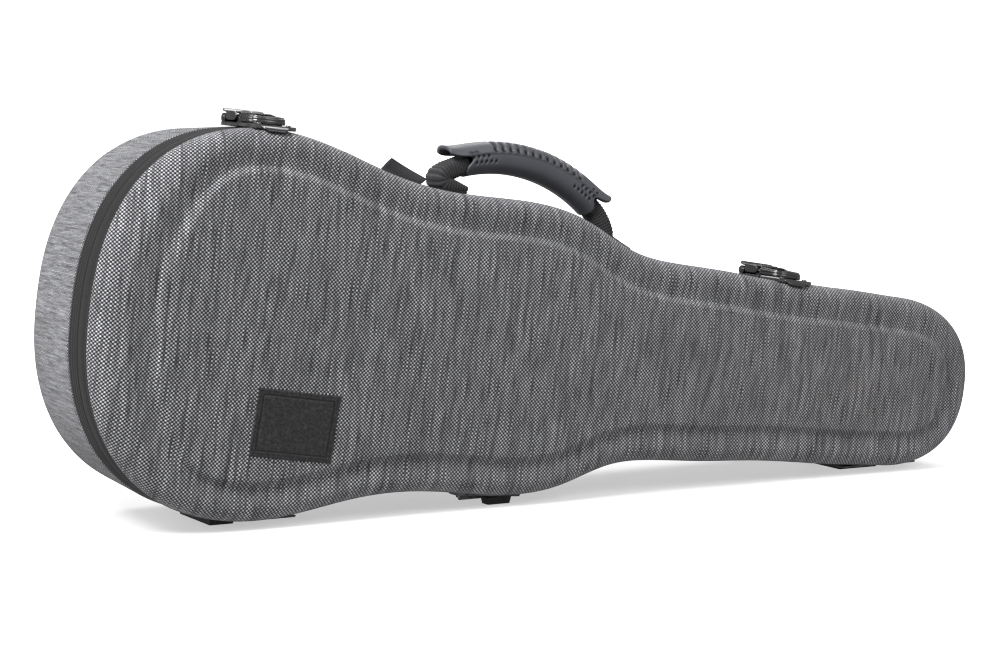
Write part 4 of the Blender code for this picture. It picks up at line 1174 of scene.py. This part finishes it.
def nose_plate(half, front, low, high, corner):
    """The top of the nose: in plan a rectangle with a round front, sloping down forwards."""
    outline = [(-half, NOSE_BACK), (half, NOSE_BACK)]
    for middle, first in ((half - corner, 0), (corner - half, 1)):
        for angle in math.pi / 2 * (first + np.arange(9) / 8):
            outline.append((middle + corner * math.cos(angle), front + corner - corner * math.sin(angle)))
    rows = pressed_plate(outline, low, high, 0.45 * (high - low), 1)
    rows[..., 2] += NOSE_SLOPE * (rows[..., 1] - NOSE_BACK)
    return rows


def latch_lever_piece(index):
    """The lever: a bent cover, the web below it, a skirt on either side and a raised line on top."""
    top, back, half = 10.55, 27.2, LATCH_HALF
    shapes = [
        pressed_strip([(4, top), (15, top), (23, top), (25, 11.1), (back, 12.6)],
                      [(3, 12.3), (15.7, 12.3), (16.2, half), (26, half), (back, 15.2)], 1.5),
        cross_plate([(4, 3.7), (15.5, 4.2), (17, 10), (4.2, 10)], -8.8, 8.8, 0.4),
    ]
    skirt = [(3.8, 5.6), (6, 4.6), (19.8, 4.6), (20.4, 10.9), (8, 10.9), (3.6, 9.6)]
    shapes += [cross_plate(skirt, low, low + 1.4, 0.35) for low in (-half, 15.1)]
    shapes.append(tube([(-5.6, 6, 11.35), (-5.6, 21, 11.35), (5.6, 21, 11.35), (5.6, 6, 11.35)], 0.55))
    latch_piece("lever_cover", index, shapes, f"latch_{index}_lever", f"latch_{index}_lever")


def latch_bail_piece(index):
    """The nose that hooks over the lid: stacked loops round its front, a plate on top and two arms."""
    shapes = [nose_plate(13.2, -18.8, 8.0, 9.3, 6)]
    # half width, front, height at the back and at the front, half the upright size
    loops = ((14.0, -20.1, 5.4, 5.1, 1.35), (13.9, -19.8, 7.7, 7.0, 1.05), (13.0, -18.8, 9.4, 8.3, 0.75))
    for half, front, back_height, front_height, upright in loops:
        corners = [(half, front, front_height), (half, 2.4, back_height)]
        shapes.append(tube([(-x, y, z) for x, y, z in corners[::-1]] + corners, 0.85, upright))
    y, z = BAIL_PIVOT
    arm = [(0.6, z - 1), (y - 1, z - 1.1), (y, z - 2.2), (y + 2, z - 1.6),
           (y + 2, z + 1.6), (y, z + 2.2), (y - 1, z + 1.1), (0.6, z + 1.2)]
    shapes += [cross_plate(arm, low, low + 2.2, 0.4) for low in (-14.9, 12.7)]
    latch_piece("bail_nose", index, shapes, f"latch_{index}_bail", f"latch_{index}_bail")


def latch_trim(index):
    """Stepped ends on the base's rolled edge; a riveted tongue from the keeper over the lid's shoulder."""
    shapes = []
    for side in (-1, 1):
        for x, radius in ((LATCH_HALF + 0.1, 3.2), (LATCH_HALF + 0.7, 2.1)):
            low, high = sorted((side * (x - 1), side * x))
            shapes.append(cross_plate(circle(*BARREL, radius, 24), low, high, 0.4))
    latch_piece("barrel_ends", index, shapes, "base")
    shapes = [pressed_strip([(-22, 2), (-26.5, 1.9), (-29, 0.8), (-31, -1.2)],
                            [(-31, 6), (-29.5, 9), (-27, 11), (-20, 12)], 1.2)]
    shapes += [pressed_plate(circle(x, -23.5, 1.9, 20), 3.0, 4.3, 0.6, 1) for x in (-11.5, 11.5)]
    latch_piece("keeper_tongue", index, shapes, "lid")


# ---------------------------------------------------------------- floor, light and camera
FLOOR_FRONT = 90 * MM            # the floor ends this far in front of the case, over the opened lid
FLOOR_FADE = 60 * MM             # and fades out over this length
FLOOR_REACH = 6.0                # its reach to the other sides, in metres
LAMPS = (
    # name, offset from the middle of the case, diameter, watts
    ("key", (-1.6, -0.7, 1.6), 0.8, 35),
    ("side", (-1.7, 0.3, 0.6), 1.0, 4.5),
    ("front", (0.7, -1.9, 1.6), 1.2, 8),
    ("rim", (0.7, 1.3, 1.5), 1.2, 10),
)
FLOOR_SUN = 1.75                 # strength of the lamp that lightens the shadows on the floor
ROOM_LIGHT = 0.2                 # strength of the white room as the case receives it
BACKDROP = 1.0                   # and as the camera sees it
CAMERA_PLACE = (-0.7543, -1.6014, 0.3350)
CAMERA_TURN = (0.5586, 0.1111, -0.0217)      # to the right of +y, downwards, and about the line of sight
FOCAL_LENGTH = 88.96             # in millimetres, on a sensor 36 mm wide
EXPOSURE = 0.6


def floor_material(front):
    """A pale floor that clears where something lies below it and fades out towards its front edge."""
    g = Graph("floor_pale")
    below = g.node("ShaderNodeAmbientOcclusion", inside=True, samples=8)
    below.inputs["Distance"].default_value = 0.3
    _, _, y, _ = g.coordinates("Object")
    fade = g.span(y, front, front + FLOOR_FADE, 0, 1)
    fade.node.interpolation_type = "SMOOTHSTEP"
    solid = g.times(g.math("POWER", below.outputs["AO"], 8.0), fade)
    clear = g.node("ShaderNodeBsdfTransparent")
    mix = g.node("ShaderNodeMixShader")
    for value, socket in zip((solid, clear.outputs[0], g.shader.outputs[0]), mix.inputs):
        g.put(value, socket)
    g.put(mix.outputs[0], g.tree.nodes["Material Output"].inputs["Surface"])
    return g.finish((0.25, 0.25, 0.25), 0.9)


def studio_floor(centre, low):
    front = low[1] - FLOOR_FRONT
    left, right = centre.x - FLOOR_REACH, centre.x + FLOOR_REACH
    corners = ((left, front), (right, front), (right, FLOOR_REACH), (left, FLOOR_REACH))
    mesh = bpy.data.meshes.new("floor")
    mesh.from_pydata([(x, y, low[2]) for x, y in corners], [], [(0, 1, 2, 3)])
    mesh.materials.append(floor_material(front))
    floor = add_object("floor", mesh)
    floor.is_shadow_catcher = True
    # a lamp that reaches only the floor and that nothing blocks, so that the shadows on it stay light
    only_floor = bpy.data.collections.new("only_floor")
    only_floor.objects.link(floor)
    data = bpy.data.lights.new("floor_fill", "SUN")
    data.energy = FLOOR_SUN
    lamp = add_object("floor_fill", data)
    lamp.light_linking.receiver_collection = only_floor
    lamp.light_linking.blocker_collection = only_floor


def studio_world():
    world = bpy.data.worlds.new("studio")
    world.use_nodes = True
    tree = world.node_tree
    background = tree.nodes["Background"]
    background.inputs["Color"].default_value = (1, 1, 1, 1)
    seen = tree.nodes.new("ShaderNodeLightPath")
    level = tree.nodes.new("ShaderNodeMix")
    level.inputs[2].default_value = ROOM_LIGHT
    level.inputs[3].default_value = BACKDROP
    tree.links.new(seen.outputs["Is Camera Ray"], level.inputs[0])
    tree.links.new(level.outputs[0], background.inputs["Strength"])
    bpy.context.scene.world = world


def studio_camera():
    yaw, pitch, roll = CAMERA_TURN
    forward = Vector((math.sin(yaw) * math.cos(pitch), math.cos(yaw) * math.cos(pitch), -math.sin(pitch)))
    right = Vector((math.cos(yaw), -math.sin(yaw), 0))
    up = right.cross(forward)
    axis_x = right * math.cos(roll) - up * math.sin(roll)
    axis_y = right * math.sin(roll) + up * math.cos(roll)
    data = bpy.data.cameras.new("camera")
    data.sensor_width = 36
    data.lens = FOCAL_LENGTH
    data.clip_end = 50
    camera = add_object("camera", data)
    turn = Matrix((axis_x, axis_y, -forward)).transposed().to_4x4()
    camera.matrix_world = Matrix.Translation(CAMERA_PLACE) @ turn
    bpy.context.scene.camera = camera


def studio():
    low, high = (np.array(corner) for corner in CAD_BOX)
    centre = Vector((low + high) / 2)
    studio_floor(centre, low)
    studio_world()
    for name, offset, size, power in LAMPS:
        data = bpy.data.lights.new(name, "AREA")
        data.shape = "DISK"
        data.size = size
        data.energy = power
        lamp = add_object(name, data)
        lamp.location = centre + Vector(offset)
        lamp.rotation_euler = (-Vector(offset)).to_track_quat("-Z", "Y").to_euler()
    studio_camera()
    bpy.context.scene.view_settings.view_transform = "Standard"
    bpy.context.scene.view_settings.exposure = EXPOSURE


panel_depth = shell_cover("lid", -1, lid_profile(), PANEL_CROWN, 0)
shell_cover("base", 1, base_profile(), 0.0, 27)
rim_bands()
handle_grip()
handle_straps()
strap_tab()
label(panel_depth)
linings()
fittings_inside()
hard_parts()
for number in (1, 2):
    latch_lever_piece(number)
    latch_bail_piece(number)
    latch_trim(number)
studio()
